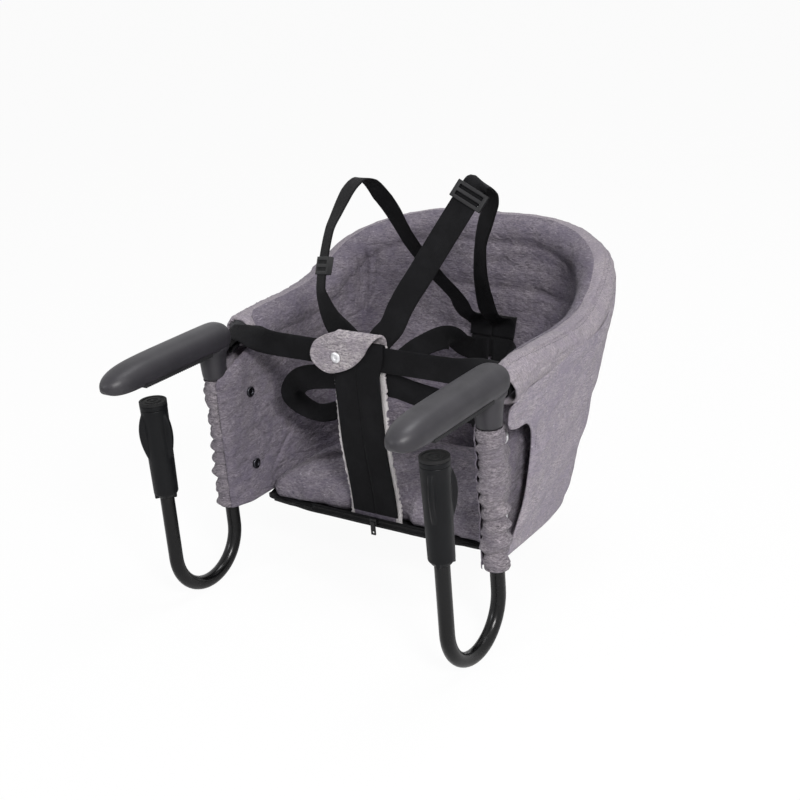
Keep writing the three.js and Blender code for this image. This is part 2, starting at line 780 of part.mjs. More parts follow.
function clampKnob(phase) {
  const sleeve = turned([
    [CARRIER_STEM_RADIUS + RUNNING_GAP, knobTop],
    [KNOB_TOP_RADIUS, knobTop],
    [KNOB_BOTTOM_RADIUS, knobBottom + KNOB_CHAMFER],
    [knobBore + (KNOB_BOTTOM_RADIUS - knobBore) / 4, knobBottom],
    [knobBore, knobBottom],
    [knobBore, nutTop + TOUCH_GAP],
    [headBore, nutTop + TOUCH_GAP],
    [headBore, knobCeiling],
    [CARRIER_STEM_RADIUS + RUNNING_GAP, knobCeiling],
    [CARRIER_STEM_RADIUS + RUNNING_GAP, knobTop],
  ], 16);
  const outline = new THREE.Shape();
  const root = (headBore + KNOB_TOP_RADIUS) / 2;
  const finTop = knobTop - KNOB_FIN_TOP;
  const finSteps = 9;
  outline.moveTo(root, finTop);
  for (let i = 0; i <= finSteps; i += 1) {
    const t = share(i, finSteps);
    const rise = Math.sin(Math.PI * t ** FIN_LEAN_POWER) ** FIN_ROUND_POWER;
    outline.lineTo(KNOB_BOTTOM_RADIUS + KNOB_FIN_DEPTH * rise, finTop - KNOB_FIN_LENGTH * t);
  }
  outline.lineTo(root, finTop - KNOB_FIN_LENGTH);
  const fins = Array.from({ length: KNOB_FIN_COUNT }, (_, i) => {
    const fin = new THREE.ExtrudeGeometry(outline, {
      depth: KNOB_FIN_THICKNESS / 2,
      bevelEnabled: true,
      bevelThickness: KNOB_FIN_THICKNESS / 4,
      bevelSize: KNOB_FIN_THICKNESS / 4,
      bevelOffset: -KNOB_FIN_THICKNESS / 4,
      bevelSegments: 1,
    });
    fin.translate(0, 0, -KNOB_FIN_THICKNESS / 4);
    fin.rotateX(Math.PI / 2);
    fin.rotateZ(phase + 2 * Math.PI * share(i, KNOB_FIN_COUNT));
    return fin;
  });
  return join(sleeve, ...fins);
}

// Rail, foam and rim sleeve
const RAIL_SIDES = 8;
const RIM_SIDES = 12;
const clearRound = (radius, sides) => (radius + RUNNING_GAP) / Math.cos(Math.PI / sides);

function backRail() {
  const stations = railStations(0, 1);
  return hollowLoft(
    railRings(stations, RAIL_SIDES, () => TUBE_RADIUS),
    railRings(stations, RAIL_SIDES, () => TUBE_BORE_RADIUS),
  );
}

function railFoam() {
  const from = railShareAt(RIM_LEFT_START);
  const stations = railStations(from, 1 - from);
  return hollowLoft(
    railRings(stations, RAIL_SIDES, () => FOAM_RADIUS),
    railRings(stations, RAIL_SIDES, () => clearRound(TUBE_RADIUS, RAIL_SIDES)),
  );
}

function rimSleeve() {
  const stations = railStations(railShareAt(RIM_RIGHT_START), 1 - railShareAt(RIM_LEFT_START));
  const wrinkle = (at, turn) => RIM_FOLD * Math.sin(2 * Math.PI * RIM_FOLD_COUNT * at + 2 * turn);
  const beltSlot = boxBetween(
    point(HALF_SPACING - RIM_RADIUS - OVERRUN, 0, -RIM_RADIUS - OVERRUN),
    point(HALF_SPACING - TUBE_RADIUS, RIM_LEFT_START, RIM_RADIUS),
  );
  return cut(hollowLoft(
    railRings(stations, RIM_SIDES, (at, turn) => RIM_RADIUS + wrinkle(at, turn)),
    railRings(stations, RIM_SIDES, () => RIM_RADIUS - RIM_WALL),
  ), beltSlot);
}

const baseHalfWidth = HALF_SPACING - BASE_SIDE_MARGIN;

// Plan line of the bucket's lower edge: straight sides and a round back, in shares
const PLAN_SHARES = [
  [1.000, 0.072],
  [1.000, 0.290],
  [0.990, 0.500],
  [0.935, 0.700],
  [0.780, 0.870],
  [0.520, 0.965],
  [0.260, 0.995],
];

function planCurve(halfWidth, rear) {
  const half = PLAN_SHARES.map(([x, y]) => point(x * halfWidth, y * rear, 0));
  const curve = new THREE.CatmullRomCurve3(
    [...half, point(0, rear, 0), ...half.map(mirrored).reverse()], false, 'centripetal');
  curve.arcLengthDivisions = 400;
  return curve;
}

// A place on a curve that runs on straight past both of its ends
function along(curve, at) {
  const inside = clamp01(at);
  const past = (at - inside) * curve.getLength();
  return curve.getPointAt(inside).addScaledVector(curve.getTangentAt(inside), past);
}

// The wall hangs from the rim on its inner or outer side and runs down to its plan line
function wallPoint(wall, at, level) {
  const frame = railFrame(at);
  const reach = RIM_RADIUS + RIM_FOLD + TOUCH_GAP + wall.thickness / 2;
  const top = along(rail, at)
    .addScaledVector(frame.out, wall.side * reach * Math.cos(wall.hang))
    .addScaledVector(frame.up, -reach * Math.sin(wall.hang));
  const foot = along(wall.plan, at).setZ(-wall.bottom);
  return top.lerp(foot, level).addScaledVector(frame.out, wall.belly * Math.sin(Math.PI * level));
}

function wallNormal(wall, at, level) {
  const stepShare = 0.01;
  const acrossWay = wallPoint(wall, at + stepShare, level).sub(wallPoint(wall, at - stepShare, level));
  const downWay = wallPoint(wall, at, level + stepShare).sub(wallPoint(wall, at, level - stepShare));
  return downWay.cross(acrossWay).normalize();
}

function onWall(wall, at, level, inward) {
  return wallPoint(wall, at, level).addScaledVector(wallNormal(wall, at, level), -inward);
}

const liner = {
  side: -1,
  hang: (40 * Math.PI) / 180,
  thickness: LINER_THICKNESS,
  bottom: SEAT_DROP - 4 * TOUCH_GAP,
  belly: LINER_BELLY,
  plan: planCurve(baseHalfWidth - BASE_WALL / 2, BASE_REAR),
};
const outerShell = {
  side: 1,
  hang: (50 * Math.PI) / 180,
  thickness: OUTER_THICKNESS,
  bottom: SEAT_DROP - OUTER_LIFT,
  belly: OUTER_BELLY,
  plan: planCurve(
    HALF_SPACING - OUTER_THICKNESS,
    BASE_REAR + LINER_THICKNESS + OUTER_THICKNESS + WALL_SPACING),
};

// Fabric tubes round the hooks' long legs, with a snapped tail behind
const sleeveTop = -BOSS_DROP - TOUCH_GAP;
const sleeveLength = SEAT_DROP + sleeveTop;

// How far the tail is drawn out of the round, and how long it is
const TAIL_RISE_SHARE = 0.1;
const TAIL_DRAWN_IN_SHARE = 0.4;
const TAIL_FALL_SHARE = 0.15;
const tailRise = (t) => smooth(clamp01(t / TAIL_RISE_SHARE));
const tailFall = (t) => smooth(clamp01((t - 1) / TAIL_FALL_SHARE + 1));
const tailFullness = (t) => tailRise(t) * (1 - TAIL_DRAWN_IN_SHARE * tailFall(t));
const tailLength = (t) => blend(SLEEVE_TAIL, SLEEVE_TAIL_LOW, smooth(clamp01(2 * t - 1)));

// The tail lies against the outside of the lining
function tailShift(t) {
  const at = (SLEEVE_TAIL - SNAP_SETBACK - railStart) / rail.getLength();
  const top = wallPoint(liner, at, 0).z;
  const height = sleeveTop - sleeveLength * t;
  const level = clamp01((top - height) / (top + liner.bottom));
  const face = onWall(liner, at, level, -LINER_THICKNESS / 2);
  return HALF_SPACING - face.x - SLEEVE_TAIL_THICKNESS / 2 - SNAP_EASE;
}

// Tail side of the section: shares of the tail length, and of the radius where the tail leaves the round
const TAIL_SECTION_SHARES = [0.17, 0.46, 0.97, 1.0, 0.97, 0.46, 0.17];
const TAIL_ROOT_SHARES = [0.86, -0.93];

function sleeveRing(t, side) {
  const fold = SLEEVE_FOLD * Math.sin(2 * Math.PI * SLEEVE_FOLD_COUNT * t);
  const radius = SLEEVE_RADIUS + fold;
  const half = SLEEVE_TAIL_THICKNESS / 2;
  const shift = -tailShift(t);
  const [innerRoot, outerRoot] = TAIL_ROOT_SHARES.map((part) => radius * part);
  const [near, far] = [shift + half, shift - half];
  const across = [innerRoot, near, near, shift, far, far, outerRoot];
  return Array.from({ length: SLEEVE_POINTS }, (_, i) => {
    const turn = 2 * Math.PI * share(i, SLEEVE_POINTS);
    const round = point(radius * Math.cos(turn), radius * Math.sin(turn), sleeveTop - sleeveLength * t);
    if (i > 0 && i < SLEEVE_POINTS / 2) {
      const tail = point(across[i - 1], TAIL_SECTION_SHARES[i - 1] * tailLength(t) + fold, round.z);
      round.lerp(tail, tailFullness(t));
    }
    return round.setX(side * round.x);
  });
}

function snapPlace(drop) {
  const t = (drop + sleeveTop) / sleeveLength;
  return { y: tailLength(t) - SNAP_SETBACK, x: -tailShift(t) };
}

function snapHole(side, drop) {
  const place = snapPlace(drop);
  const rod = uprightRod(SNAP_POST_RADIUS + TOUCH_GAP, -SLEEVE_RADIUS, SLEEVE_RADIUS, 10);
  rod.rotateY(Math.PI / 2);
  rod.translate(side * place.x, place.y, -drop);
  return rod;
}

function tubeSleeve(side) {
  const outer = [];
  const inner = [];
  for (let k = 0; k <= SLEEVE_STEPS; k += 1) {
    const t = share(k, SLEEVE_STEPS);
    outer.push(sleeveRing(t, side));
    inner.push(circleRing(SLEEVE_POINTS, TUBE_RADIUS + RUNNING_GAP, (x, y) =>
      point(side * x, y, sleeveTop - sleeveLength * t)));
  }
  return cut(hollowLoft(outer, inner), snapHole(side, UPPER_SNAP_DROP), snapHole(side, LOWER_SNAP_DROP));
}

const SNAP_STUD_SHARE = 0.8;
const SNAP_CROWN_SHARE = 0.6;

// A snap through the tail and the lining: a domed cap outside, a post and a flat stud inside
function sleeveSnap(side, drop) {
  const place = snapPlace(drop);
  const outer = SLEEVE_TAIL_THICKNESS / 2 + 2 * TOUCH_GAP + SNAP_EASE;
  const inner = -SLEEVE_TAIL_THICKNESS / 2 - LINER_THICKNESS - 3 * TOUCH_GAP - SNAP_EASE;
  const geometry = turned([
    [0, inner - SNAP_HEIGHT],
    [SNAP_RADIUS * SNAP_STUD_SHARE, inner - SNAP_HEIGHT],
    [SNAP_RADIUS * SNAP_STUD_SHARE, inner],
    [SNAP_POST_RADIUS, inner],
    [SNAP_POST_RADIUS, outer],
    [SNAP_RADIUS, outer],
    [SNAP_RADIUS, outer + SNAP_HEIGHT / 2],
    [SNAP_RADIUS * SNAP_CROWN_SHARE, outer + SNAP_HEIGHT],
    [0, outer + SNAP_HEIGHT],
  ], 10);
  geometry.rotateY(side * Math.PI / 2);
  geometry.translate(side * place.x, place.y, -drop);
  return geometry;
}

// Padded lining with a sewn channel across the back and gathers beside it
const PLAIN_FRONT_SHARE = 0.35;

function seatLiner() {
  const front = [];
  const back = [];
  const start = (LINER_START - railStart) / rail.getLength();
  for (let r = 0; r <= LINER_ROWS; r += 1) {
    const level = share(r, LINER_ROWS);
    front.push([]);
    back.push([]);
    for (let c = 0; c <= LINER_COLUMNS; c += 1) {
      const at = blend(start, 1 - start, share(c, LINER_COLUMNS));
      const behind = smooth(clamp01(1 - Math.abs(2 * at - 1) - PLAIN_FRONT_SHARE));
      const channel = CHANNEL_DEPTH * behind * bell(level, CHANNEL_LEVEL_SHARE, CHANNEL_WIDTH_SHARE);
      const wave = Math.sin(4 * Math.PI * GATHER_COUNT * at) * Math.sin(Math.PI * level);
      const gather = GATHER_DEPTH * behind * wave;
      const inner = LINER_THICKNESS / 2 - channel + gather / 2;
      front[r].push(onWall(liner, at, level, inner));
      back[r].push(onWall(liner, at, level, -LINER_THICKNESS / 2));
    }
  }
  const holes = [-1, 1].flatMap((side) => [UPPER_SNAP_DROP, LOWER_SNAP_DROP].map((drop) => {
    const hole = snapHole(side, drop);
    hole.translate(side * HALF_SPACING, 0, 0);
    return hole;
  }));
  return cut(sheet(front, back), ...holes);
}

// Front edge of the outer cover: an open curve behind the hook, in shares of its deepest reach
const HEM_EASE_SHARE = 0.2;
const HEM_SHARES = [0.36, 0.60, 0.90, 1.0, 1.0, 0.98, 0.88, 0.66, 0.34];

function outerCover() {
  const front = [];
  const back = [];
  for (let r = 0; r < HEM_SHARES.length; r += 1) {
    const level = share(r, HEM_SHARES.length - 1);
    const reach = HEM_SHARES[r] * SLOT_REACH;
    const start = (reach - railStart) / rail.getLength();
    const leftReach = Math.max(reach, blend(RIM_LEFT_START, 0, clamp01(level / HEM_EASE_SHARE)));
    const end = 1 - (leftReach - railStart) / rail.getLength();
    front.push([]);
    back.push([]);
    for (let c = 0; c <= OUTER_COLUMNS; c += 1) {
      const at = blend(start, end, share(c, OUTER_COLUMNS));
      front[r].push(onWall(outerShell, at, level, OUTER_THICKNESS / 2));
      back[r].push(onWall(outerShell, at, level, -OUTER_THICKNESS / 2));
    }
  }
  return sheet(front, back);
}

// Seat outline in plan: straight front, round corners and a round back, in shares
const OUTLINE_SHARES = [
  [0.000, 0.000],
  [0.450, 0.000],
  [0.850, 0.000],
  [0.970, 0.018],
  [1.000, 0.080],
  [1.000, 0.300],
  [0.985, 0.520],
  [0.920, 0.710],
  [0.760, 0.870],
  [0.500, 0.965],
  [0.240, 0.995],
];

function seatOutline() {
  const half = OUTLINE_SHARES.map(([x, y]) =>
    point(x * baseHalfWidth, blend(BASE_FRONT, BASE_REAR, y), 0));
  const curve = new THREE.CatmullRomCurve3(
    [...half, point(0, BASE_REAR, 0), ...half.slice(1).map(mirrored).reverse()], true, 'centripetal');
  return curve.getSpacedPoints(OUTLINE_POINTS).slice(0, OUTLINE_POINTS);
}

const seatEdge = seatOutline();
const seatMiddle = point(0, (BASE_FRONT + BASE_REAR) / 2, 0);

function seatRing(inset, height) {
  const halfDepth = (BASE_REAR - BASE_FRONT) / 2;
  return seatEdge.map((p) => {
    const x = (p.x * (baseHalfWidth - inset)) / baseHalfWidth;
    const y = seatMiddle.y + ((p.y - seatMiddle.y) * (halfDepth - inset)) / halfDepth;
    return point(x, y, typeof height === 'function' ? height(p) : height);
  });
}

// Black cover under the seat, its front edge arched up to the zip
function baseCover() {
  const bottom = -SEAT_DROP - BASE_DEPTH;
  const rimHeight = (p) => {
    const nearFront = 1 - smooth(clamp01((p.y - BASE_FRONT) / (3 * OVERRUN)));
    return -SEAT_DROP + BASE_ARCH * nearFront * (1 - (p.x / baseHalfWidth) ** 2);
  };
  return loft([
    seatRing(2 * BASE_WALL, bottom),
    seatRing(BASE_WALL / 3, bottom + BASE_WALL),
    seatRing(0, bottom + 2 * BASE_WALL),
    seatRing(0, rimHeight),
    seatRing(BASE_WALL, rimHeight),
    seatRing(BASE_WALL, bottom + BASE_WALL),
  ]);
}

function seatBoard() {
  const bottom = -SEAT_DROP - BASE_DEPTH + BASE_WALL + TOUCH_GAP;
  const inset = BASE_WALL + 2 * RUNNING_GAP;
  return loft([seatRing(inset, bottom), seatRing(inset, bottom + BOARD_THICKNESS)]);
}

// Crowned cushion with drawn-in sides
const cushionBottom = -SEAT_DROP - BASE_DEPTH + BASE_WALL + BOARD_THICKNESS + 2 * TOUCH_GAP;

// Its section: shares of the inset, of the bulge, of the thickness and of the crown
const CUSHION_SECTION_SHARES = [
  [1, 1, 0.00, 0.00],
  [1, 0, 1 / 6, 0.00],
  [1, -1, 0.50, 0.00],
  [1, 0, 0.85, 0.00],
  [1, 1, 1.00, 0.15],
  [2, 0, 1.00, 0.50],
  [4, 0, 1.00, 0.90],
  [7, 0, 1.00, 1.00],
];

function seatCushion() {
  return loft(CUSHION_SECTION_SHARES.map(([inset, bulge, rise, crown]) => seatRing(
    CUSHION_INSET * inset + CUSHION_BULGE * bulge,
    cushionBottom + CUSHION_THICKNESS * rise + CUSHION_CROWN * crown)));
}

// Zip along the base's front edge
const zipTop = -SEAT_DROP + BASE_ARCH - ZIP_DROP;
const zipY = BASE_FRONT - TOUCH_GAP - ZIP_THICKNESS / 2;

function baseZip() {
  return boxBetween(
    point(-ZIP_LENGTH / 2, zipY - ZIP_THICKNESS / 2, zipTop - ZIP_HEIGHT),
    point(ZIP_LENGTH / 2, zipY + ZIP_THICKNESS / 2, zipTop),
  );
}

function zipSlider() {
  const back = zipY - ZIP_THICKNESS / 2 - TOUCH_GAP;
  const middle = zipTop - ZIP_HEIGHT / 2;
  const runner = boxBetween(
    point(-SLIDER_BODY_WIDTH / 2, back - 2 * ZIP_THICKNESS, middle - ZIP_HEIGHT / 2),
    point(SLIDER_BODY_WIDTH / 2, back, middle + ZIP_HEIGHT / 2),
  );
  const pull = boxBetween(
    point(-SLIDER_BODY_WIDTH / 3, back - 3 * ZIP_THICKNESS, middle - SLIDER_PULL_LENGTH),
    point(SLIDER_BODY_WIDTH / 3, back - 2 * ZIP_THICKNESS + TOUCH_GAP, middle),
  );
  const eye = uprightRod(SLIDER_BODY_WIDTH / 6, -OVERRUN, OVERRUN, 10);
  eye.rotateX(Math.PI / 2);
  eye.translate(0, back, middle - SLIDER_PULL_LENGTH + SLIDER_BODY_WIDTH / 3);
  return cut(join(runner, pull), eye);
}

// Harness routes, in shares of half spacing, rail depth and seat drop
const seatPlace = ([x, y, z]) => point(x * HALF_SPACING, y * RAIL_DEPTH, z * SEAT_DROP);
const toward = (x, y, z) => point(x, y, z).normalize();

// The crotch webbings run up from the seat front, over the belt and down behind it
const webbingFront = BELT_Y - WEBBING_THICKNESS - RUNNING_GAP;
const webbingBack = BELT_Y + WEBBING_THICKNESS + RUNNING_GAP;
const loopTop = BELT_Z + WEBBING_WIDTH / 2 + WEBBING_THICKNESS;
const crotchFoot = -SEAT_DROP + BASE_ARCH + TOUCH_GAP;
const panelY = webbingBack + WEBBING_THICKNESS / 2 + TOUCH_GAP + CROTCH_PANEL_THICKNESS / 2;

function crotchWebbing(side) {
  const x = side * (CROTCH_WEBBING_WIDTH / 2 + TOUCH_GAP);
  const width = CROTCH_WEBBING_WIDTH;
  const stations = [
    { middle: point(x, BELT_Y, crotchFoot), facing: toward(0, -1, 0), width },
    { middle: point(x, BELT_Y, (crotchFoot + BELT_Z) / 2), facing: toward(0, -1, 0), width },
    { middle: point(x, webbingFront, BELT_Z - WEBBING_WIDTH), facing: toward(0, -1, 0), width },
    { middle: point(x, webbingFront, loopTop), facing: toward(0, -1, 0.4), width },
    { middle: point(x, BELT_Y, loopTop + WEBBING_THICKNESS), facing: toward(0, 0, 1), width },
    { middle: point(x, webbingBack, loopTop), facing: toward(0, 1, 0.4), width },
    { middle: point(x, webbingBack, BELT_Z - WEBBING_WIDTH / 2), facing: toward(0, 1, 0), width },
  ];
  return ribbon(stations, WEBBING_THICKNESS);
}

const PANEL_TOP_SHARE = 0.9;

function crotchPanel() {
  const facing = toward(0, -1, 0);
  const width = CROTCH_PANEL_WIDTH;
  return ribbon([
    { middle: point(0, panelY - WEBBING_THICKNESS, crotchFoot), facing, width },
    { middle: point(0, panelY - WEBBING_THICKNESS, (crotchFoot + BELT_Z) / 2), facing, width },
    { middle: point(0, panelY, BELT_Z - WEBBING_WIDTH), facing, width },
    { middle: point(0, panelY, loopTop), facing, width: width * PANEL_TOP_SHARE },
  ], CROTCH_PANEL_THICKNESS);
}

// Teardrop flap folded over the belt: its root stays on the panel, and its front lifts at the bend.
// Shares of its forward reach, its drop, and its left and right edges
const FLAP_SHARES = [
  [0.00, 0.00, -0.34, 0.34],
  [0.02, -0.12, -0.33, 0.34],
  [0.17, -0.24, -0.31, 0.33],
  [0.47, -0.31, -0.30, 0.32],
  [0.77, -0.29, -0.32, 0.30],
  [0.94, -0.17, -0.47, 0.24],
  [0.99, 0.05, -0.62, 0.16],
  [1.00, 0.30, -0.69, 0.09],
  [1.00, 0.50, -0.71, 0.01],
  [0.99, 0.68, -0.69, -0.08],
  [0.97, 0.85, -0.62, -0.21],
  [0.96, 0.96, -0.54, -0.34],
  [0.95, 1.00, -0.47, -0.42],
];
const flapBack = panelY + TOUCH_GAP;
const flapHinge = point(0, panelY, loopTop + TOUCH_GAP);

function flapMiddle([forward, drop, left, right]) {
  return point(
    ((left + right) * FLAP_WIDTH) / 2,
    flapBack - FLAP_REACH * forward,
    flapHinge.z + TOUCH_GAP - FLAP_DROP * drop);
}

const FLAP_BEND_SHARE = 0.375;
const FLAP_BEND_GAP_SHARE = 0.005;
const flapBendRow = Math.ceil(FLAP_BEND_SHARE * (FLAP_SHARES.length - 1));

function flapRow(down) {
  const at = down * (FLAP_SHARES.length - 1);
  const before = FLAP_SHARES[Math.floor(at)];
  const after = FLAP_SHARES[Math.ceil(at)];
  return before.map((value, i) => blend(value, after[i], at - Math.floor(at)));
}

function flapRings(rows) {
  const middles = rows.map(flapMiddle);
  return rows.map(([, , left, right], i) => {
    const before = middles[Math.max(i - 1, 0)];
    const after = middles[Math.min(i + 1, middles.length - 1)];
    const level = point(0, after.y - before.y, after.z - before.z).normalize();
    const across = point(((right - left) * FLAP_WIDTH) / 2, 0, 0);
    const out = point(0, level.z, -level.y).multiplyScalar(FLAP_THICKNESS / 2);
    return [
      middles[i].clone().add(across).add(out),
      middles[i].clone().add(across).sub(out),
      middles[i].clone().sub(across).sub(out),
      middles[i].clone().sub(across).add(out),
    ];
  });
}

function flapRoot() {
  const rows = FLAP_SHARES.slice(0, flapBendRow);
  return loft(flapRings([...rows, flapRow(FLAP_BEND_SHARE - FLAP_BEND_GAP_SHARE)]));
}

function crotchFlap() {
  const rows = FLAP_SHARES.slice(flapBendRow);
  const hole = uprightRod(SNAP_POST_RADIUS + TOUCH_GAP, -FLAP_REACH, FLAP_REACH, 10);
  hole.rotateX(Math.PI / 2);
  hole.translate(-FLAP_SNAP_X, flapBack - FLAP_REACH, loopTop - FLAP_SNAP_DROP);
  return cut(loft(flapRings([flapRow(FLAP_BEND_SHARE + FLAP_BEND_GAP_SHARE), ...rows])), hole);
}

function flapSnap() {
  const seat = FLAP_THICKNESS / 2 + TOUCH_GAP;
  const geometry = turned([
    [0, -seat],
    [SNAP_POST_RADIUS, -seat],
    [SNAP_POST_RADIUS, seat],
    [SNAP_RADIUS, seat],
    [SNAP_RADIUS, seat + SNAP_HEIGHT / 2],
    [SNAP_RADIUS * SNAP_CROWN_SHARE, seat + SNAP_HEIGHT],
    [0, seat + SNAP_HEIGHT],
  ], 12);
  geometry.rotateX(Math.PI / 2);
  geometry.translate(-FLAP_SNAP_X, flapBack - FLAP_REACH, loopTop - FLAP_SNAP_DROP);
  return geometry;
}

// One belt across the front, looped round the rail at both ends. Shares of half spacing and of the twist
const BELT_SHARES = [
  [0.50, 0.00],
  [0.68, 0.06],
  [0.76, 0.25],
  [0.83, 0.60],
  [0.89, 0.88],
];
const BELT_LOOP_STEPS = 8;
const BELT_LOOP_START_ANGLE = (105 * Math.PI) / 180;
const BELT_LOOP_STEP_ANGLE = (33.5 * Math.PI) / 180;

function frontBelt() {
  const loopY = BELT_LOOP_START + WEBBING_WIDTH / 2;
  const frame = railFrame(railShareAt(loopY));
  const radius = TUBE_RADIUS + TOUCH_GAP + WEBBING_THICKNESS;
  const width = WEBBING_WIDTH;
  const loopHeight = frame.middle.z + radius;
  const half = [{ middle: point(0, BELT_Y, BELT_Z), facing: toward(0, -1, 0), width }];
  for (const [out, twist] of BELT_SHARES) {
    half.push({
      middle: point(out * HALF_SPACING, blend(BELT_Y, loopY, twist), blend(BELT_Z, loopHeight, twist)),
      facing: toward(0, -1, 0).lerp(frame.up, twist).normalize(),
      width,
    });
  }
  for (let i = 0; i <= BELT_LOOP_STEPS; i += 1) {
    const turn = BELT_LOOP_START_ANGLE - BELT_LOOP_STEP_ANGLE * i;
    const out = frame.out.clone().multiplyScalar(Math.cos(turn)).addScaledVector(frame.up, Math.sin(turn));
    half.push({ middle: frame.middle.clone().addScaledVector(out, radius), facing: out, width });
  }
  const otherHalf = half.slice(1).map((s) =>
    ({ middle: mirrored(s.middle), facing: mirrored(s.facing), width }));
  return ribbon([...otherHalf.reverse(), ...half], WEBBING_THICKNESS);
}

// Shoulder straps rise from behind the crotch panel, over the shoulders and down to the yoke.
// Each row: place, then the way the strap's face looks.
const strapBack = panelY + CROTCH_PANEL_THICKNESS / 2 + 3 * TOUCH_GAP + WEBBING_THICKNESS / 2;
const RIGHT_SHOULDER_SHARES = [
  [[0.150, 0.180, 0.160], [0.2, -1, 0.3]],
  [[0.200, 0.225, 0.300], [0.4, -1, 0.5]],
  [[0.270, 0.268, 0.430], [0.5, -1, 0.55]],
];
const RIGHT_APEX_SHARES = [
  [[0.520, 0.437, 0.905], [0.5, -1, 0.55]],
  [[0.543, 0.450, 0.922], [0.4, 0.1, 0.9]],
  [[0.560, 0.492, 0.850], [0.5, 0.9, 0.4]],
  [[0.500, 0.518, 0.700], [0.7, 0.7, 0.35]],
  [[0.419, 0.551, 0.570], [0.8, 0.6, 0.4]],
  [[0.294, 0.644, 0.321], [0.6, 0.8, 0.4]],
  [[0.217, 0.728, 0.118], [0.3, 1, 0.4]],
  [[0.198, 0.780, -0.050], [0.1, 1, 0.2]],
];
const LEFT_SHOULDER_SHARES = [
  [[-0.214, 0.155, 0.157], [-0.1, -1, 0.2]],
  [[-0.300, 0.170, 0.250], [-0.4, -1, 0.15]],
  [[-0.345, 0.184, 0.345], [-0.6, -0.9, 0.15]],
];
const LEFT_APEX_SHARES = [
  [[-0.345, 0.262, 0.660], [-0.6, -0.9, 0.15]],
  [[-0.318, 0.325, 0.800], [-0.5, -1, 0.3]],
  [[-0.290, 0.375, 0.890], [-0.4, -0.8, 0.7]],
  [[-0.255, 0.415, 0.915], [-0.2, -0.1, 1]],
  [[-0.188, 0.483, 0.755], [0.0, 0.9, 0.6]],
  [[-0.171, 0.533, 0.620], [0.2, 1, 0.5]],
  [[-0.142, 0.588, 0.454], [0.2, 1, 0.5]],
  [[-0.060, 0.666, 0.229], [0.2, 1, 0.5]],
  [[0.012, 0.728, 0.068], [0.2, 1, 0.4]],
  [[0.016, 0.775, -0.050], [0.1, 1, 0.2]],
];
const routeFrom = (rows) => rows.map(([place, facing]) => ({
  at: seatPlace(place),
  facing: toward(...facing),
}));

const YOKE_ALONG_SHARE = 0.472;
const YOKE_LEVEL_SHARE = 0.43;
const yokeBase = LINER_THICKNESS / 2 + GATHER_DEPTH / 2 + TOUCH_GAP;
const yokeFace = yokeBase + YOKE_THICKNESS;

function harnessYoke() {
  const halfAlong = YOKE_WIDTH / 2 / rail.getLength();
  const halfLevel = YOKE_HEIGHT / 2 / (SEAT_DROP + RAIL_RISE);
  const front = [];
  const back = [];
  for (const rise of [-1, 0, 1]) {
    const level = YOKE_LEVEL_SHARE + rise * halfLevel;
    const row = [-1, 0, 1].map((way) => YOKE_ALONG_SHARE + way * halfAlong);
    front.push(row.map((at) => onWall(liner, at, level, yokeFace)));
    back.push(row.map((at) => onWall(liner, at, level, yokeBase)));
  }
  return sheet(front, back);
}

// A strap end lying on the yoke
function yokeEnd(alongShift, levelShift, away, look) {
  const at = YOKE_ALONG_SHARE + alongShift / rail.getLength();
  const level = YOKE_LEVEL_SHARE + levelShift / (SEAT_DROP + RAIL_RISE);
  const lift = yokeFace + WEBBING_THICKNESS + away;
  return { at: onWall(liner, at, level, lift), facing: wallNormal(liner, at, level).multiplyScalar(look) };
}

const SHOULDER_STEPS = 8;
const APEX_STEPS = 22;

function shoulderStrap(front, apex, side) {
  const foot = side * (WEBBING_WIDTH / 2 + WEBBING_THICKNESS);
  const feet = [BELT_Z - WEBBING_WIDTH / 2, BELT_Z, BELT_Z + WEBBING_WIDTH / 2].map((z) => ({
    at: point(foot, strapBack, z), facing: toward(0, -1, 0),
  }));
  const alongShift = -foot - side * WEBBING_THICKNESS;
  const end = [
    yokeEnd(alongShift, -YOKE_HEIGHT / 3, 2 * WEBBING_THICKNESS, 1),
    yokeEnd(alongShift, -YOKE_HEIGHT / 12, 0, 1),
    yokeEnd(alongShift, 0, 0, 1),
  ];
  return ribbon([
    ...strapStations([...feet, ...routeFrom(front)], WEBBING_WIDTH, SHOULDER_STEPS),
    ...strapStations([...routeFrom(apex), ...end], WEBBING_WIDTH, APEX_STEPS),
  ], WEBBING_THICKNESS);
}

// The glide sits on the straight stretch between the front rows and the apex rows
function placeGlide(mesh, front, apex, setback) {
  const [low] = routeFrom(front.slice(-1));
  const [high] = routeFrom(apex.slice(0, 1));
  const up = high.at.clone().sub(low.at).normalize();
  const across = up.clone().cross(high.facing).normalize();
  const face = across.clone().cross(up);
  mesh.position.copy(high.at).addScaledVector(up, -setback);
  mesh.quaternion.setFromRotationMatrix(new THREE.Matrix4().makeBasis(across, face.negate(), up));
  return mesh;
}

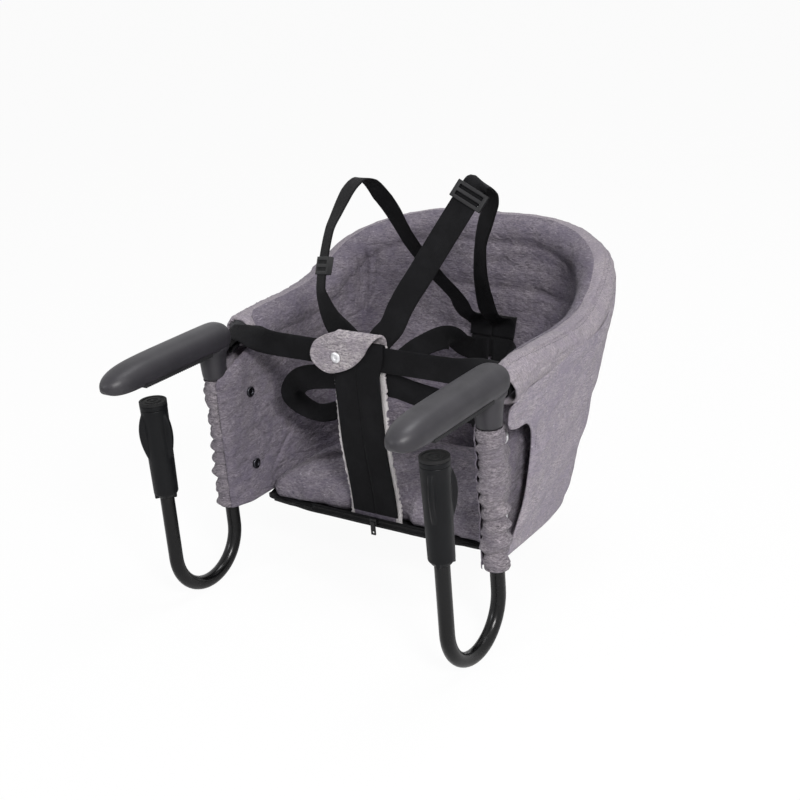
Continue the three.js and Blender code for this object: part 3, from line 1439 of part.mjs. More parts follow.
// Waist straps droop from the panel to the yoke round the sides
const LEFT_WAIST_SHARES = [
  [[-0.330, 0.158, -0.170], [0, -1, 0]],
  [[-0.560, 0.180, -0.230], [0.3, -1, 0.2]],
  [[-0.740, 0.245, -0.400], [0.8, -0.5, 0.5]],
  [[-0.660, 0.340, -0.560], [0.6, -0.1, 0.9]],
  [[-0.440, 0.450, -0.480], [0.3, -0.3, 0.9]],
  [[-0.220, 0.573, -0.250], [0.2, -0.6, 0.7]],
  [[-0.060, 0.690, -0.180], [0.1, -0.9, 0.4]],
];
const RIGHT_WAIST_SHARES = [
  [[0.330, 0.162, -0.190], [0, -1, 0]],
  [[0.560, 0.185, -0.250], [-0.3, -1, 0.2]],
  [[0.740, 0.260, -0.420], [-0.8, -0.5, 0.5]],
  [[0.720, 0.420, -0.560], [-0.8, -0.2, 0.7]],
  [[0.560, 0.600, -0.500], [-0.5, -0.5, 0.6]],
  [[0.340, 0.720, -0.360], [-0.2, -0.9, 0.4]],
];

const WAIST_LEVEL_SHARE = 0.37;
const WAIST_STEPS = 22;

function waistStrap(rows, side) {
  const level = BELT_Z - WEBBING_WIDTH / 2 - WEBBING_WIDTH / 2 - 2 * RUNNING_GAP - WEBBING_THICKNESS;
  const starts = [WEBBING_THICKNESS, CROTCH_PANEL_WIDTH / 4, CROTCH_PANEL_WIDTH / 2].map((x) => ({
    at: point(side * x, strapBack, level), facing: toward(0, -1, 0),
  }));
  const route = [
    ...starts,
    ...routeFrom(rows),
    yokeEnd((-side * YOKE_WIDTH) / 2, YOKE_HEIGHT * WAIST_LEVEL_SHARE, WEBBING_THICKNESS, -1),
    yokeEnd(-side * 2 * WEBBING_THICKNESS, YOKE_HEIGHT * WAIST_LEVEL_SHARE, RUNNING_GAP, -1),
  ];
  return ribbon(strapStations(route, WEBBING_WIDTH, WAIST_STEPS), WEBBING_THICKNESS);
}

// Tri-glide round a strap, in its own frame: strap along Z, strap face along Y
function strapGlide() {
  const wall = (GLIDE_WIDTH - WEBBING_WIDTH) / 2 - RUNNING_GAP;
  const slot = WEBBING_THICKNESS / 2 + RUNNING_GAP;
  const block = boxBetween(
    point(-GLIDE_WIDTH / 2, -GLIDE_THICKNESS / 2, -GLIDE_HEIGHT / 2),
    point(GLIDE_WIDTH / 2, GLIDE_THICKNESS / 2, GLIDE_HEIGHT / 2),
  );
  const strapSlot = boxBetween(
    point(-GLIDE_WIDTH / 2 + wall, -slot, -GLIDE_HEIGHT / 2 - OVERRUN),
    point(GLIDE_WIDTH / 2 - wall, slot, GLIDE_HEIGHT / 2 + OVERRUN),
  );
  const gap = (GLIDE_HEIGHT - 3 * GLIDE_BAR) / 2;
  const windows = [-1, 1].map((way) => {
    const middle = way * (GLIDE_BAR + gap) / 2;
    return boxBetween(
      point(-GLIDE_WIDTH / 2 + wall, -GLIDE_THICKNESS, middle - gap / 2),
      point(GLIDE_WIDTH / 2 - wall, GLIDE_THICKNESS, middle + gap / 2),
    );
  });
  return cut(block, strapSlot, ...windows);
}

// Assembly
function named(name, geometry, material) {
  const mesh = new THREE.Mesh(geometry, material);
  mesh.name = name;
  return mesh;
}

const FIN_TURN = { left: (5.7 * Math.PI) / 180, right: (45.7 * Math.PI) / 180 };

function sideGroup(label, side) {
  const group = new THREE.Group();
  group.name = `${label}_side`;
  group.position.x = side * HALF_SPACING;
  const add = (name, geometry, material, y = 0) => {
    const mesh = named(`${label}_${name}`, geometry, material);
    mesh.position.y = y;
    group.add(mesh);
  };
  add('arm_cover', armCover(), softGrip);
  add('arm_core', armCore(), bareSteel);
  add('socket_bush', socketBush(), nylon);
  add('arm_grip', gripRubber(), toothedRubber);
  add('grip_screw_front', gripScrew(), bareSteel, -screwFrontY);
  add('grip_screw_rear', gripScrew(), bareSteel, -screwRearY);
  add('hook_tube', hookTube(), blackTube);
  add('hook_retainer', hookRetainer(), bareSteel);
  add('thread_rod', threadRod(), bareSteel, -HOOK_LEG_SPACING);
  add('clamp_nut', clampNut(), bareSteel, -HOOK_LEG_SPACING);
  add('clamp_knob', clampKnob(FIN_TURN[label]), knobPlastic, -HOOK_LEG_SPACING);
  add('pad_carrier', padCarrier(), knobPlastic, -HOOK_LEG_SPACING);
  add('clamp_pad', clampPad(), padRubber, -HOOK_LEG_SPACING);
  add('tube_sleeve', tubeSleeve(side), greyFabric);
  add('upper_snap', sleeveSnap(side, UPPER_SNAP_DROP), silver);
  add('lower_snap', sleeveSnap(side, LOWER_SNAP_DROP), silver);
  return group;
}

const tableChair = new THREE.Group();
tableChair.name = 'hook_on_table_chair';
tableChair.add(sideGroup('left', -1), sideGroup('right', 1));
tableChair.add(named('back_rail', backRail(), blackTube));
tableChair.add(named('rail_foam', railFoam(), foam));
tableChair.add(named('rim_sleeve', rimSleeve(), greyFabric));
tableChair.add(named('seat_liner', seatLiner(), innerFabric));
tableChair.add(named('outer_cover', outerCover(), greyFabric));
tableChair.add(named('base_cover', baseCover(), blackFabric));
tableChair.add(named('seat_board', seatBoard(), boardPlastic));
tableChair.add(named('seat_cushion', seatCushion(), greyFabric));
tableChair.add(named('base_zip', baseZip(), zipNylon));
tableChair.add(named('zip_slider', zipSlider(), nylon));
tableChair.add(named('left_crotch_webbing', crotchWebbing(-1), blackWebbing));
tableChair.add(named('right_crotch_webbing', crotchWebbing(1), blackWebbing));
tableChair.add(named('crotch_panel', crotchPanel(), innerFabric));
tableChair.add(named('flap_root', flapRoot(), greyFabric));
tableChair.add(named('crotch_flap', crotchFlap(), greyFabric));
tableChair.add(named('flap_snap', flapSnap(), silver));
tableChair.add(named('front_belt', frontBelt(), blackWebbing));
tableChair.add(named('harness_yoke', harnessYoke(), blackFabric));
tableChair.add(named(
  'left_shoulder_strap', shoulderStrap(LEFT_SHOULDER_SHARES, LEFT_APEX_SHARES, -1), blackWebbing));
tableChair.add(named(
  'right_shoulder_strap', shoulderStrap(RIGHT_SHOULDER_SHARES, RIGHT_APEX_SHARES, 1), blackWebbing));
tableChair.add(named('left_waist_strap', waistStrap(LEFT_WAIST_SHARES, -1), blackWebbing));
tableChair.add(named('right_waist_strap', waistStrap(RIGHT_WAIST_SHARES, 1), blackWebbing));
tableChair.add(placeGlide(
  named('left_strap_slider', strapGlide(), boardPlastic),
  LEFT_SHOULDER_SHARES, LEFT_APEX_SHARES, LEFT_GLIDE_SETBACK));
tableChair.add(placeGlide(
  named('right_strap_slider', strapGlide(), boardPlastic),
  RIGHT_SHOULDER_SHARES, RIGHT_APEX_SHARES, RIGHT_GLIDE_SETBACK));

export default tableChair;
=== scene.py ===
import itertools
import json
import math

import bmesh
import bpy
import numpy as np
from mathutils import Matrix, Quaternion, Vector
from mathutils.bvhtree import BVHTree


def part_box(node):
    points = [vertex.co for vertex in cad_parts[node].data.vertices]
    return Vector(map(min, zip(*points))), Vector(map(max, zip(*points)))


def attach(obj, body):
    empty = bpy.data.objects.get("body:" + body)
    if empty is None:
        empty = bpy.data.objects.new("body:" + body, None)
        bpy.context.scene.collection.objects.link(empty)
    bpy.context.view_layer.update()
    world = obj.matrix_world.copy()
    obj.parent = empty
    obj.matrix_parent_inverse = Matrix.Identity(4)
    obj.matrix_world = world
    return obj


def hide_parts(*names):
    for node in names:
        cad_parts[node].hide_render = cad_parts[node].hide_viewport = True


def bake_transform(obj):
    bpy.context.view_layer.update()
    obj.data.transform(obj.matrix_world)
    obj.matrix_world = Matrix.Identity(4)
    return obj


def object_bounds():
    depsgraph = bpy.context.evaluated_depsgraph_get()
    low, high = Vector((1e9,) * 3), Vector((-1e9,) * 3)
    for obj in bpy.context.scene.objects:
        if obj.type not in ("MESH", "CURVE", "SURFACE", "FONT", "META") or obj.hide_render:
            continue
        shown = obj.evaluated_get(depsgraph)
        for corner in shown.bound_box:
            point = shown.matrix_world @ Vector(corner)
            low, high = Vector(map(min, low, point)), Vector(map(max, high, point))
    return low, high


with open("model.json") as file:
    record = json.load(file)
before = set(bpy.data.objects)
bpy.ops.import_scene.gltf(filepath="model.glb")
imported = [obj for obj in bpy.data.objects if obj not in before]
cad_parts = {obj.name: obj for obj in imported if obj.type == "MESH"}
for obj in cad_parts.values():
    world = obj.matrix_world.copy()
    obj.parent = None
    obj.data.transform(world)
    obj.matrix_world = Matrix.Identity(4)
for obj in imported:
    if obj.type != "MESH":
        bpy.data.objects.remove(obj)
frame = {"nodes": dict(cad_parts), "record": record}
NODES = frame["nodes"]
CAD_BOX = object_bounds()
SCENE = bpy.context.scene
BODY_OF = {node: body for body, members in frame["record"]["behaviour"]["bodies"].items() for node in members}
SIDES = {"left": -1, "right": 1}
MM = 0.001

# Camera at the photograph's place and angle
CAMERA_PLACE = Vector((0.8407, -1.0654, 0.4790))
CAMERA_AZIMUTH = math.radians(35.7)
CAMERA_ELEVATION = math.radians(20.9)
CAMERA_ROLL = math.radians(-4.6)
CAMERA_LENS = 60.88

# Driving dimensions, the same as in the part's own source
HALF_SPACING = 182 * MM
RAIL_DEPTH = 323 * MM
RAIL_RISE = 78 * MM
SEAT_DROP = 192 * MM
TOUCH_GAP = 0.3 * MM
RUNNING_GAP = 0.5 * MM
TUBE_RADIUS = 8 * MM
TUBE_BORE_RADIUS = 6.3 * MM
ARM_REACH = 168 * MM
ARM_BACK = 19 * MM
ARM_WIDTH = 40 * MM
ARM_HEIGHT = 30 * MM
BOSS_RADIUS = 13.8 * MM
BOSS_DROP = 33.5 * MM
BOSS_TOP = 10 * MM
BOSS_FLARE = 3 * MM
CORE_WIDTH = 25 * MM
CORE_REACH = 138 * MM
CORE_TOP = 17.5 * MM
SOCKET_RADIUS = 11.9 * MM
SOCKET_TOP = 19 * MM
HEAD_RADIUS = 5.5 * MM
HEAD_HEIGHT = 3.4 * MM
GRIP_THICKNESS = 4 * MM
GRIP_FRONT = 126 * MM
GRIP_REAR = 19 * MM
HOOK_TOP = 14 * MM
HOOK_BEND_CENTRE = 218 * MM
HOOK_LEG_SPACING = 101 * MM
HOOK_TUBE_END = 123 * MM
KNOB_TOP = -33.8 * MM
KNOB_LENGTH = 105 * MM
KNOB_CROWN = 4 * MM
KNOB_TOP_RADIUS = 15 * MM
KNOB_BOTTOM_RADIUS = 13.7 * MM
KNOB_CHAMFER = 5 * MM
KNOB_BORE = 8.5 * MM
KNOB_STEM_BORE = 4.7 * MM
KNOB_HEAD_BORE = 6.1 * MM
KNOB_NUT_TOP = -80 * MM
KNOB_FIN_DEPTH = 7 * MM
KNOB_FIN_THICKNESS = 5 * MM
KNOB_FIN_TOP = 3 * MM
KNOB_FIN_LENGTH = 56 * MM
KNOB_FIN_COUNT = 3
FIN_TURN = {"left": math.radians(5.7), "right": math.radians(45.7)}
PAD_TOP = -25 * MM
PAD_THICKNESS = 3.5 * MM
PAD_RADIUS = 15.2 * MM
PAD_RING_COUNT = 2
PAD_RING_DEPTH = 0.8 * MM
CARRIER_THICKNESS = 4.7 * MM
CARRIER_STEM_RADIUS = 4.2 * MM
RIM_RADIUS = 19.5 * MM
RIM_FOLD = 0.7 * MM
RIM_LEFT_START = 54 * MM
RIM_RIGHT_START = 26 * MM
LINER_THICKNESS = 5 * MM
LINER_START = 19 * MM
OUTER_THICKNESS = 3 * MM
CHANNEL_DEPTH = 3.2 * MM
GATHER_DEPTH = 1.8 * MM
BASE_TOP = 192 * MM
BASE_DEPTH = 13 * MM
BASE_WALL = 2.5 * MM
BASE_FRONT = 38 * MM
BASE_REAR = 236 * MM
BASE_HALF_WIDTH = 164 * MM
BASE_ARCH = 6 * MM
WALL_SPACING = 3 * MM
CUSHION_THICKNESS = 22 * MM
CUSHION_CROWN = 9 * MM
CUSHION_BOTTOM = -195.9 * MM
SLEEVE_RADIUS = 14 * MM
SLEEVE_TAIL = 46 * MM
SLEEVE_TAIL_THICKNESS = 3 * MM
SLEEVE_TAIL_LOW = 31 * MM
SNAP_RADIUS = 5.6 * MM
SNAP_HEIGHT = 2 * MM
SNAP_POST_RADIUS = 2 * MM
SNAP_EASE = 0.5 * MM
SNAP_SETBACK = 8 * MM
WEBBING_WIDTH = 28 * MM
WEBBING_THICKNESS = 1.6 * MM
BELT_Y = 40 * MM
BELT_Z = 2 * MM
CROTCH_PANEL_WIDTH = 67 * MM
CROTCH_PANEL_THICKNESS = 2.2 * MM
FLAP_THICKNESS = 2.4 * MM
FLAP_DROP = 37 * MM
FLAP_REACH = 12 * MM
FLAP_WIDTH = 90 * MM
YOKE_WIDTH = 62 * MM
YOKE_HEIGHT = 50 * MM
YOKE_THICKNESS = 3 * MM


# Numbers along lines and over surfaces

def smooth(share):
    share = np.clip(share, 0, 1)
    return share * share * (3 - 2 * share)


def bell(value, centre, width):
    return np.exp(-(((value - centre) / width) ** 2))


def blend(a, b, share):
    return a + (b - a) * share


def unit(ways):
    return ways / np.maximum(np.linalg.norm(ways, axis=-1, keepdims=True), 1e-12)


def swung(wave, power):
    """A sine or cosine flattened towards a square, its sign kept."""
    return np.sign(wave) * np.abs(wave) ** power


def lattice(cells, seed):
    """Random values from -1 to 1 for whole-numbered cells, always the same for a seed."""
    mixed = (cells.astype(np.int64) * np.array([374761393, 668265263, 1274126177])[: cells.shape[-1]]).sum(-1)
    mixed = mixed + seed * 144665
    mixed = ((mixed ^ (mixed >> 13)) * 1274126177) & 0x7FFFFFFF
    return ((mixed ^ (mixed >> 15)) & 0xFFFF) / 0x7FFF - 1


def ripple(places, size, seed):
    """Smooth random values from -1 to 1, in waves about as long as size."""
    scaled = places / np.asarray(size)
    cell = np.floor(scaled)
    share = smooth(scaled - cell)
    total = 0
    for corner in itertools.product((0, 1), repeat=scaled.shape[-1]):
        weight = np.prod(np.where(np.array(corner) == 1, share, 1 - share), axis=-1)
        total = total + weight * lattice(cell + np.array(corner), seed)
    return total


def crease(places, start, end, width):
    """One fold along a straight line, deepest in its middle."""
    start, end = np.array(start), np.array(end)
    run = end - start
    share = ((places - start) @ run) / (run @ run)
    nearest = start + np.clip(share, 0, 1)[..., None] * run
    distance = np.linalg.norm(places - nearest, axis=-1)
    taper = smooth(np.minimum(share, 1 - share) * 4 + 0.5)
    return np.exp(-((distance / width) ** 2)) * taper


def full_turn(count):
    """Angles evenly spaced round a full turn."""
    return np.linspace(0, 2 * math.pi, count, endpoint=False)


def spots(*parts):
    """Points with the given arrays as their coordinates, each spread to the others' shape."""
    return np.stack(np.broadcast_arrays(*parts), axis=-1)


def run_along(points):
    """Length run at each point of a line."""
    return np.concatenate([[0], np.cumsum(np.linalg.norm(np.diff(points, axis=0), axis=1))])


def read_off(at, marks, table):
    """Rows of a table at places between its marks."""
    return np.stack([np.interp(at, marks, column) for column in np.asarray(table).T], axis=-1)


def curve_samples(points, steps=60):
    """Points along a smooth line through the given ones, which may have any number of coordinates."""
    points = np.vstack([2 * points[0] - points[1], points, 2 * points[-1] - points[-2]])
    share = np.linspace(0, 1, steps, endpoint=False)[:, None]
    found = []
    for a, b, c, d in zip(points, points[1:], points[2:], points[3:]):
        before, here, after = (max(np.linalg.norm(q - p) ** 0.5, 1e-6) for p, q in ((a, b), (b, c), (c, d)))
        start = ((b - a) / before - (c - a) / (before + here) + (c - b) / here) * here
        end = ((c - b) / here - (d - b) / (here + after) + (d - c) / after) * here
        found.append(
            b + start * share
            + (3 * (c - b) - 2 * start - end) * share ** 2
            + (2 * (b - c) + start + end) * share ** 3
        )
    return np.vstack([*found, points[-2][None]])


def closed_samples(ring, count, steps=12):
    """A ring of points resampled to count points on a smooth closed line."""
    wrapped = np.vstack([ring[-3:], ring, ring[:4]])
    fine = curve_samples(wrapped, steps)[3 * steps: (3 + len(ring)) * steps]
    closed = np.vstack([fine, fine[:1]])
    run = run_along(closed)
    return read_off(np.linspace(0, run[-1], count, endpoint=False), run, closed)


class Line:
    """A smooth line walked by its length, running on straight past both of its ends."""

    def __init__(self, points):
        self.samples = curve_samples(np.asarray(points, float))
        self.run = run_along(self.samples)
        self.length = self.run[-1]

    def at(self, shares):
        shares = np.asarray(shares, float)
        inside = np.clip(shares, 0, 1)
        place = read_off(inside * self.length, self.run, self.samples)
        return place + ((shares - inside) * self.length)[..., None] * self.way(inside)

    def way(self, shares):
        shares = np.clip(np.asarray(shares, float), 0, 1)
        step = 1e-4
        ahead, behind = np.minimum(shares + step, 1), np.maximum(shares - step, 0)
        front, rear = (read_off(s * self.length, self.run, self.samples) for s in (ahead, behind))
        return unit(front - rear)


def mirrored(points):
    return points * np.array([-1, 1, 1])


# Meshes

def placed(name, data):
    """A new object in the scene."""
    obj = bpy.data.objects.new(name, data)
    SCENE.collection.objects.link(obj)
    return obj


def mended(mesh, gap, flat):
    """Joins a mesh's points that lie within a gap, clears its flat waste and turns its faces outward."""
    shape = bmesh.new()
    shape.from_mesh(mesh)
    bmesh.ops.remove_doubles(shape, verts=shape.verts, dist=gap)
    if flat:
        bmesh.ops.dissolve_limit(shape, angle_limit=math.radians(1), verts=shape.verts, edges=shape.edges)
    else:
        bmesh.ops.dissolve_degenerate(shape, edges=shape.edges, dist=1e-7)
    bmesh.ops.recalc_face_normals(shape, faces=shape.faces)
    shape.to_mesh(mesh)
    shape.free()


def mesh_piece(name, corners, faces, weave=None, loops=None):
    """A closed mesh; weave holds flat cloth coordinates in metres, which loops picks for each face corner."""
    mesh = bpy.data.meshes.new(name)
    mesh.from_pydata(np.asarray(corners, float).reshape(-1, 3).tolist(), [], [list(map(int, f)) for f in faces])
    if weave is not None:
        flat = np.asarray(weave, float).reshape(-1, 2)
        layer = mesh.uv_layers.new(name="Weave")
        layer.data.foreach_set("uv", flat[np.concatenate([np.asarray(l) for l in loops])].ravel())
    mended(mesh, 1e-6, flat=False)
    mesh.shade_smooth()
    return placed(name, mesh)


def grid_faces(rows, columns, wrap_rows=False, wrap_columns=False):
    """Corner indices and weave indices of the faces of a grid of points."""
    ranges = np.arange(rows if wrap_rows else rows - 1), np.arange(columns if wrap_columns else columns - 1)
    down, across = (grid.ravel() for grid in np.meshgrid(*ranges, indexing="ij"))
    steps = ((0, 0), (0, 1), (1, 1), (1, 0))
    faces = np.stack([((down + r) % rows) * columns + (across + c) % columns for r, c in steps], axis=-1)
    wide = columns + (1 if wrap_columns else 0)
    loops = np.stack([(down + r) * wide + across + c for r, c in steps], axis=-1)
    return faces, loops


def weave_of(rings, wrap=True):
    """Flat coordinates of a loft: along the rings' middle line, and round the widest ring."""
    middle = rings.mean(axis=1)
    along = run_along(middle)
    closed = np.concatenate([rings, rings[:, :1]], axis=1) if wrap else rings
    steps = np.linalg.norm(np.diff(closed, axis=1), axis=2)
    widest = steps[steps.sum(axis=1).argmax()]
    round_way = np.concatenate([[0], np.cumsum(widest)])
    return np.stack(np.meshgrid(along, round_way, indexing="ij"), axis=-1)


def loft(name, rings, weave=None, closed=False):
    """A body through rings of points, its two ends filled, or joined to each other where closed."""
    rings = np.asarray(rings, float)
    rows, columns = rings.shape[:2]
    faces, loops = grid_faces(rows, columns, wrap_rows=closed, wrap_columns=True)
    if weave is None:
        weave = weave_of(rings)
    if closed:
        weave = np.concatenate([weave, weave[-1:]], axis=0)
        return mesh_piece(name, rings, faces, weave, loops)
    corners = np.vstack([rings.reshape(-1, 3), rings[0].mean(axis=0)[None], rings[-1].mean(axis=0)[None]])
    faces, loops = list(faces), list(loops)
    for centre, row in ((rows * columns, 0), (rows * columns + 1, rows - 1)):
        for c in range(columns):
            faces.append([centre, row * columns + c, row * columns + (c + 1) % columns])
            loops.append([row * (columns + 1) + c, row * (columns + 1) + c, row * (columns + 1) + c + 1])
    return mesh_piece(name, corners, faces, weave, loops)


def slab(name, front, back, weave=None, edge_share=0.45):
    """A sheet with some thickness between two grids of points, its border rounded."""
    front, back = np.asarray(front, float), np.asarray(back, float)
    middle = np.pad((front + back) / 2, ((1, 1), (1, 1), (0, 0)), mode="edge")
    reach = np.pad(np.linalg.norm(front - back, axis=-1), 1, mode="edge")[..., None] * edge_share
    away = np.zeros_like(middle)
    away[0] += unit(middle[1] - middle[2])
    away[-1] += unit(middle[-2] - middle[-3])
    away[:, 0] += unit(middle[:, 1] - middle[:, 2])
    away[:, -1] += unit(middle[:, -2] - middle[:, -3])
    border = middle + away * reach
    rows, columns = border.shape[:2]
    sheets = []
    for side in (front, back):
        sheets.append(border.copy())
        sheets[-1][1:-1, 1:-1] = side
    faces, loops = grid_faces(rows, columns)
    if weave is None:
        weave = weave_of((front + back) / 2, wrap=False)
    weave = np.pad(weave, ((1, 1), (1, 1), (0, 0)), mode="edge")
    count = rows * columns
    return mesh_piece(
        name, np.concatenate(sheets), np.vstack([faces, faces[:, ::-1] + count]),
        np.concatenate([weave, weave]), np.vstack([loops, loops[:, ::-1] + count]))


def eased(profile, radius, steps=3):
    """A profile with each of its inner corners rounded."""
    points = [np.array(p, float) for p in profile]
    found = [points[0]]
    for a, b, c in zip(points, points[1:], points[2:]):
        before, after = np.linalg.norm(b - a), np.linalg.norm(c - b)
        cut = min(radius, 0.45 * before, 0.45 * after)
        start, end = b + (a - b) * cut / before, b + (c - b) * cut / after
        for share in np.linspace(0, 1, steps + 1):
            found.append((1 - share) ** 2 * start + 2 * share * (1 - share) * b + share ** 2 * end)
    return np.array([*found, points[-1]])


def turned(name, profile, place=(0, 0, 0), axis="Z", steps=72):
    """A profile of (radius, height) turned round an axis through place."""
    profile = np.asarray(profile, float)
    angles = full_turn(steps)
    radius, height = profile[:, 0, None], profile[:, 1, None]
    flat = [radius * np.cos(angles), radius * np.sin(angles), height]
    order = {"X": (2, 0, 1), "Y": (1, 2, 0), "Z": (0, 1, 2)}[axis]
    return loft(name, spots(*(flat[k] for k in order)) + np.array(place))


def settle(obj):
    """Applies an object's modifiers to a mesh of its own."""
    graph = bpy.context.evaluated_depsgraph_get()
    graph.update()
    mesh = bpy.data.meshes.new_from_object(obj.evaluated_get(graph), preserve_all_data_layers=True, depsgraph=graph)
    obj.modifiers.clear()
    old = obj.data
    obj.data = mesh
    bpy.data.meshes.remove(old)
    return obj


def welded(node, name):
    """A copy of a CAD node's mesh with its loose triangles joined."""
    mesh = NODES[node].data.copy()
    mended(mesh, 1e-5, flat=True)
    mesh.materials.clear()
    return placed(name, mesh)


def modify(obj, kind, **settings):
    modifier = obj.modifiers.new(kind.title(), kind)
    for key, value in settings.items():
        setattr(modifier, key, value)


def bevelled(obj, width):
    obj.data.shade_smooth()
    modify(obj, "BEVEL", width=width, segments=3, limit_method="ANGLE", angle_limit=math.radians(30),
           harden_normals=True)
    return settle(obj)


def combined(obj, operation, *tools):
    """Cuts the tools out of obj or joins them to it, and removes them."""
    for tool in tools:
        modify(obj, "BOOLEAN", operation=operation, solver="EXACT", object=tool)
    settle(obj)
    for tool in tools:
        bpy.data.objects.remove(tool)


def block(low, high):
    """A box used to cut others."""
    corners = np.array(list(itertools.product(*zip(low, high))))
    faces = [(0, 1, 3, 2), (4, 6, 7, 5), (0, 4, 5, 1), (2, 3, 7, 6), (0, 2, 6, 4), (1, 5, 7, 3)]
    return mesh_piece("tool", corners, faces)


def rod(radius, bottom, top, place=(0, 0, 0), axis="Z"):
    return turned("tool", [(radius, bottom), (radius, top)], place, axis, steps=48)


def paint(obj, finish):
    obj.data.materials.clear()
    obj.data.materials.append(finish)


def dress(obj, finish, node, sharp=None):
    """Gives a piece its finish, its node's body and crisp edges above an angle in degrees, and hides the node."""
    if sharp:
        obj.data.shade_smooth()
        obj.data.set_sharp_from_angle(angle=math.radians(sharp))
    paint(obj, finish)
    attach(obj, BODY_OF[node])
    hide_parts(node)


# Finishes

def linear(value):
    share = value / 255
    return share / 12.92 if share <= 0.04045 else ((share + 0.055) / 1.055) ** 2.4


def shade(red, green, blue):
    return (linear(red), linear(green), linear(blue), 1)


class Wire:
    """One output of a node, with arithmetic."""

    def __init__(self, maker, socket):
        self.maker = maker
        self.socket = socket

    def __add__(self, other):
        return self.maker.maths("ADD", self, other)

    def __sub__(self, other):
        return self.maker.maths("SUBTRACT", self, other)

    def __rsub__(self, other):
        return self.maker.maths("SUBTRACT", other, self)

    def __mul__(self, other):
        return self.maker.maths("MULTIPLY", self, other)

    def __truediv__(self, other):
        return self.maker.maths("DIVIDE", self, other)

    def __pow__(self, other):
        return self.maker.maths("POWER", self, other)

    __radd__ = __add__
    __rmul__ = __mul__


class Nodes:
    """A node tree built up step by step."""

    def __init__(self, tree, prefix=""):
        self.tree = tree
        self.prefix = prefix

    def node(self, kind, settings=None, values=None):
        """A new node; each value is a wire to link or a constant to set."""
        made = self.tree.nodes.new(self.prefix + kind)
        for key, value in (settings or {}).items():
            setattr(made, key, value)
        for key, value in (values or {}).items():
            self.fill(made.inputs[key], value)
        return made

    def fill(self, socket, value):
        if isinstance(value, Wire):
            self.tree.links.new(value.socket, socket)
        else:
            socket.default_value = value

    def wire(self, made, output=0):
        return Wire(self, made.outputs[output])


class Finish(Nodes):
    """A material."""

    def __init__(self, name, roughness=0.6, metallic=0.0, sheen=0.0, coat=0.0, gloss=0.5):
        self.material = bpy.data.materials.new(name)
        self.material.use_nodes = True
        super().__init__(self.material.node_tree, "ShaderNode")
        self.surface = self.tree.nodes["Principled BSDF"]
        for key, value in (
                ("Roughness", roughness), ("Metallic", metallic), ("Sheen Weight", sheen), ("Sheen Roughness", 0.5),
                ("Coat Weight", coat), ("Specular IOR Level", gloss)):
            self.fill(self.surface.inputs[key], value)

    def maths(self, operation, *values):
        return self.wire(self.node("Math", {"operation": operation}, dict(enumerate(values))))

    def place(self, scale=(1, 1, 1), turn=(0, 0, 0), cloth=False):
        """Object coordinates, or the cloth's own flat ones, scaled in waves per metre."""
        source = self.node("UVMap", {"uv_map": "Weave"}) if cloth else self.node("TexCoord")
        found = self.wire(source, 0 if cloth else "Object")
        return self.wire(self.node("Mapping", values={"Vector": found, "Scale": scale, "Rotation": turn}))

    def noise(self, place, scale=1.0, detail=2.0, roughness=0.5, distortion=0.0):
        values = {
            "Vector": place, "Scale": scale, "Detail": detail, "Roughness": roughness, "Distortion": distortion}
        return self.wire(self.node("TexNoise", values=values))

    def waves(self, place, scale=1.0, direction="X"):
        settings = {"wave_type": "BANDS", "bands_direction": direction, "wave_profile": "SIN"}
        return self.wire(self.node("TexWave", settings, {"Vector": place, "Scale": scale}), "Fac")

    def cells(self, place, scale=1.0):
        return self.wire(self.node("TexVoronoi", {"feature": "F1"}, {"Vector": place, "Scale": scale}), "Distance")

    def between(self, value, low, high, to_low=0.0, to_high=1.0):
        values = {"Value": value, "From Min": low, "From Max": high, "To Min": to_low, "To Max": to_high}
        return self.wire(self.node("MapRange", {"clamp": True}, values))

    def mix(self, share, first, second):
        made = self.node("Mix", {"data_type": "RGBA"})
        for index, value in ((0, share), (6, first), (7, second)):
            self.fill(made.inputs[index], value)
        return self.wire(made, 2)

    def feed(self, name, value):
        self.fill(self.surface.inputs[name], value)

    def bump(self, height, depth, strength=1.0):
        """Adds a relief of a height from 0 to 1 and a depth in metres; reliefs stack."""
        before = self.surface.inputs["Normal"]
        made = self.node("Bump", values={"Height": height, "Distance": depth, "Strength": strength})
        if before.is_linked:
            self.tree.links.new(before.links[0].from_socket, made.inputs["Normal"])
        self.tree.links.new(made.outputs[0], before)


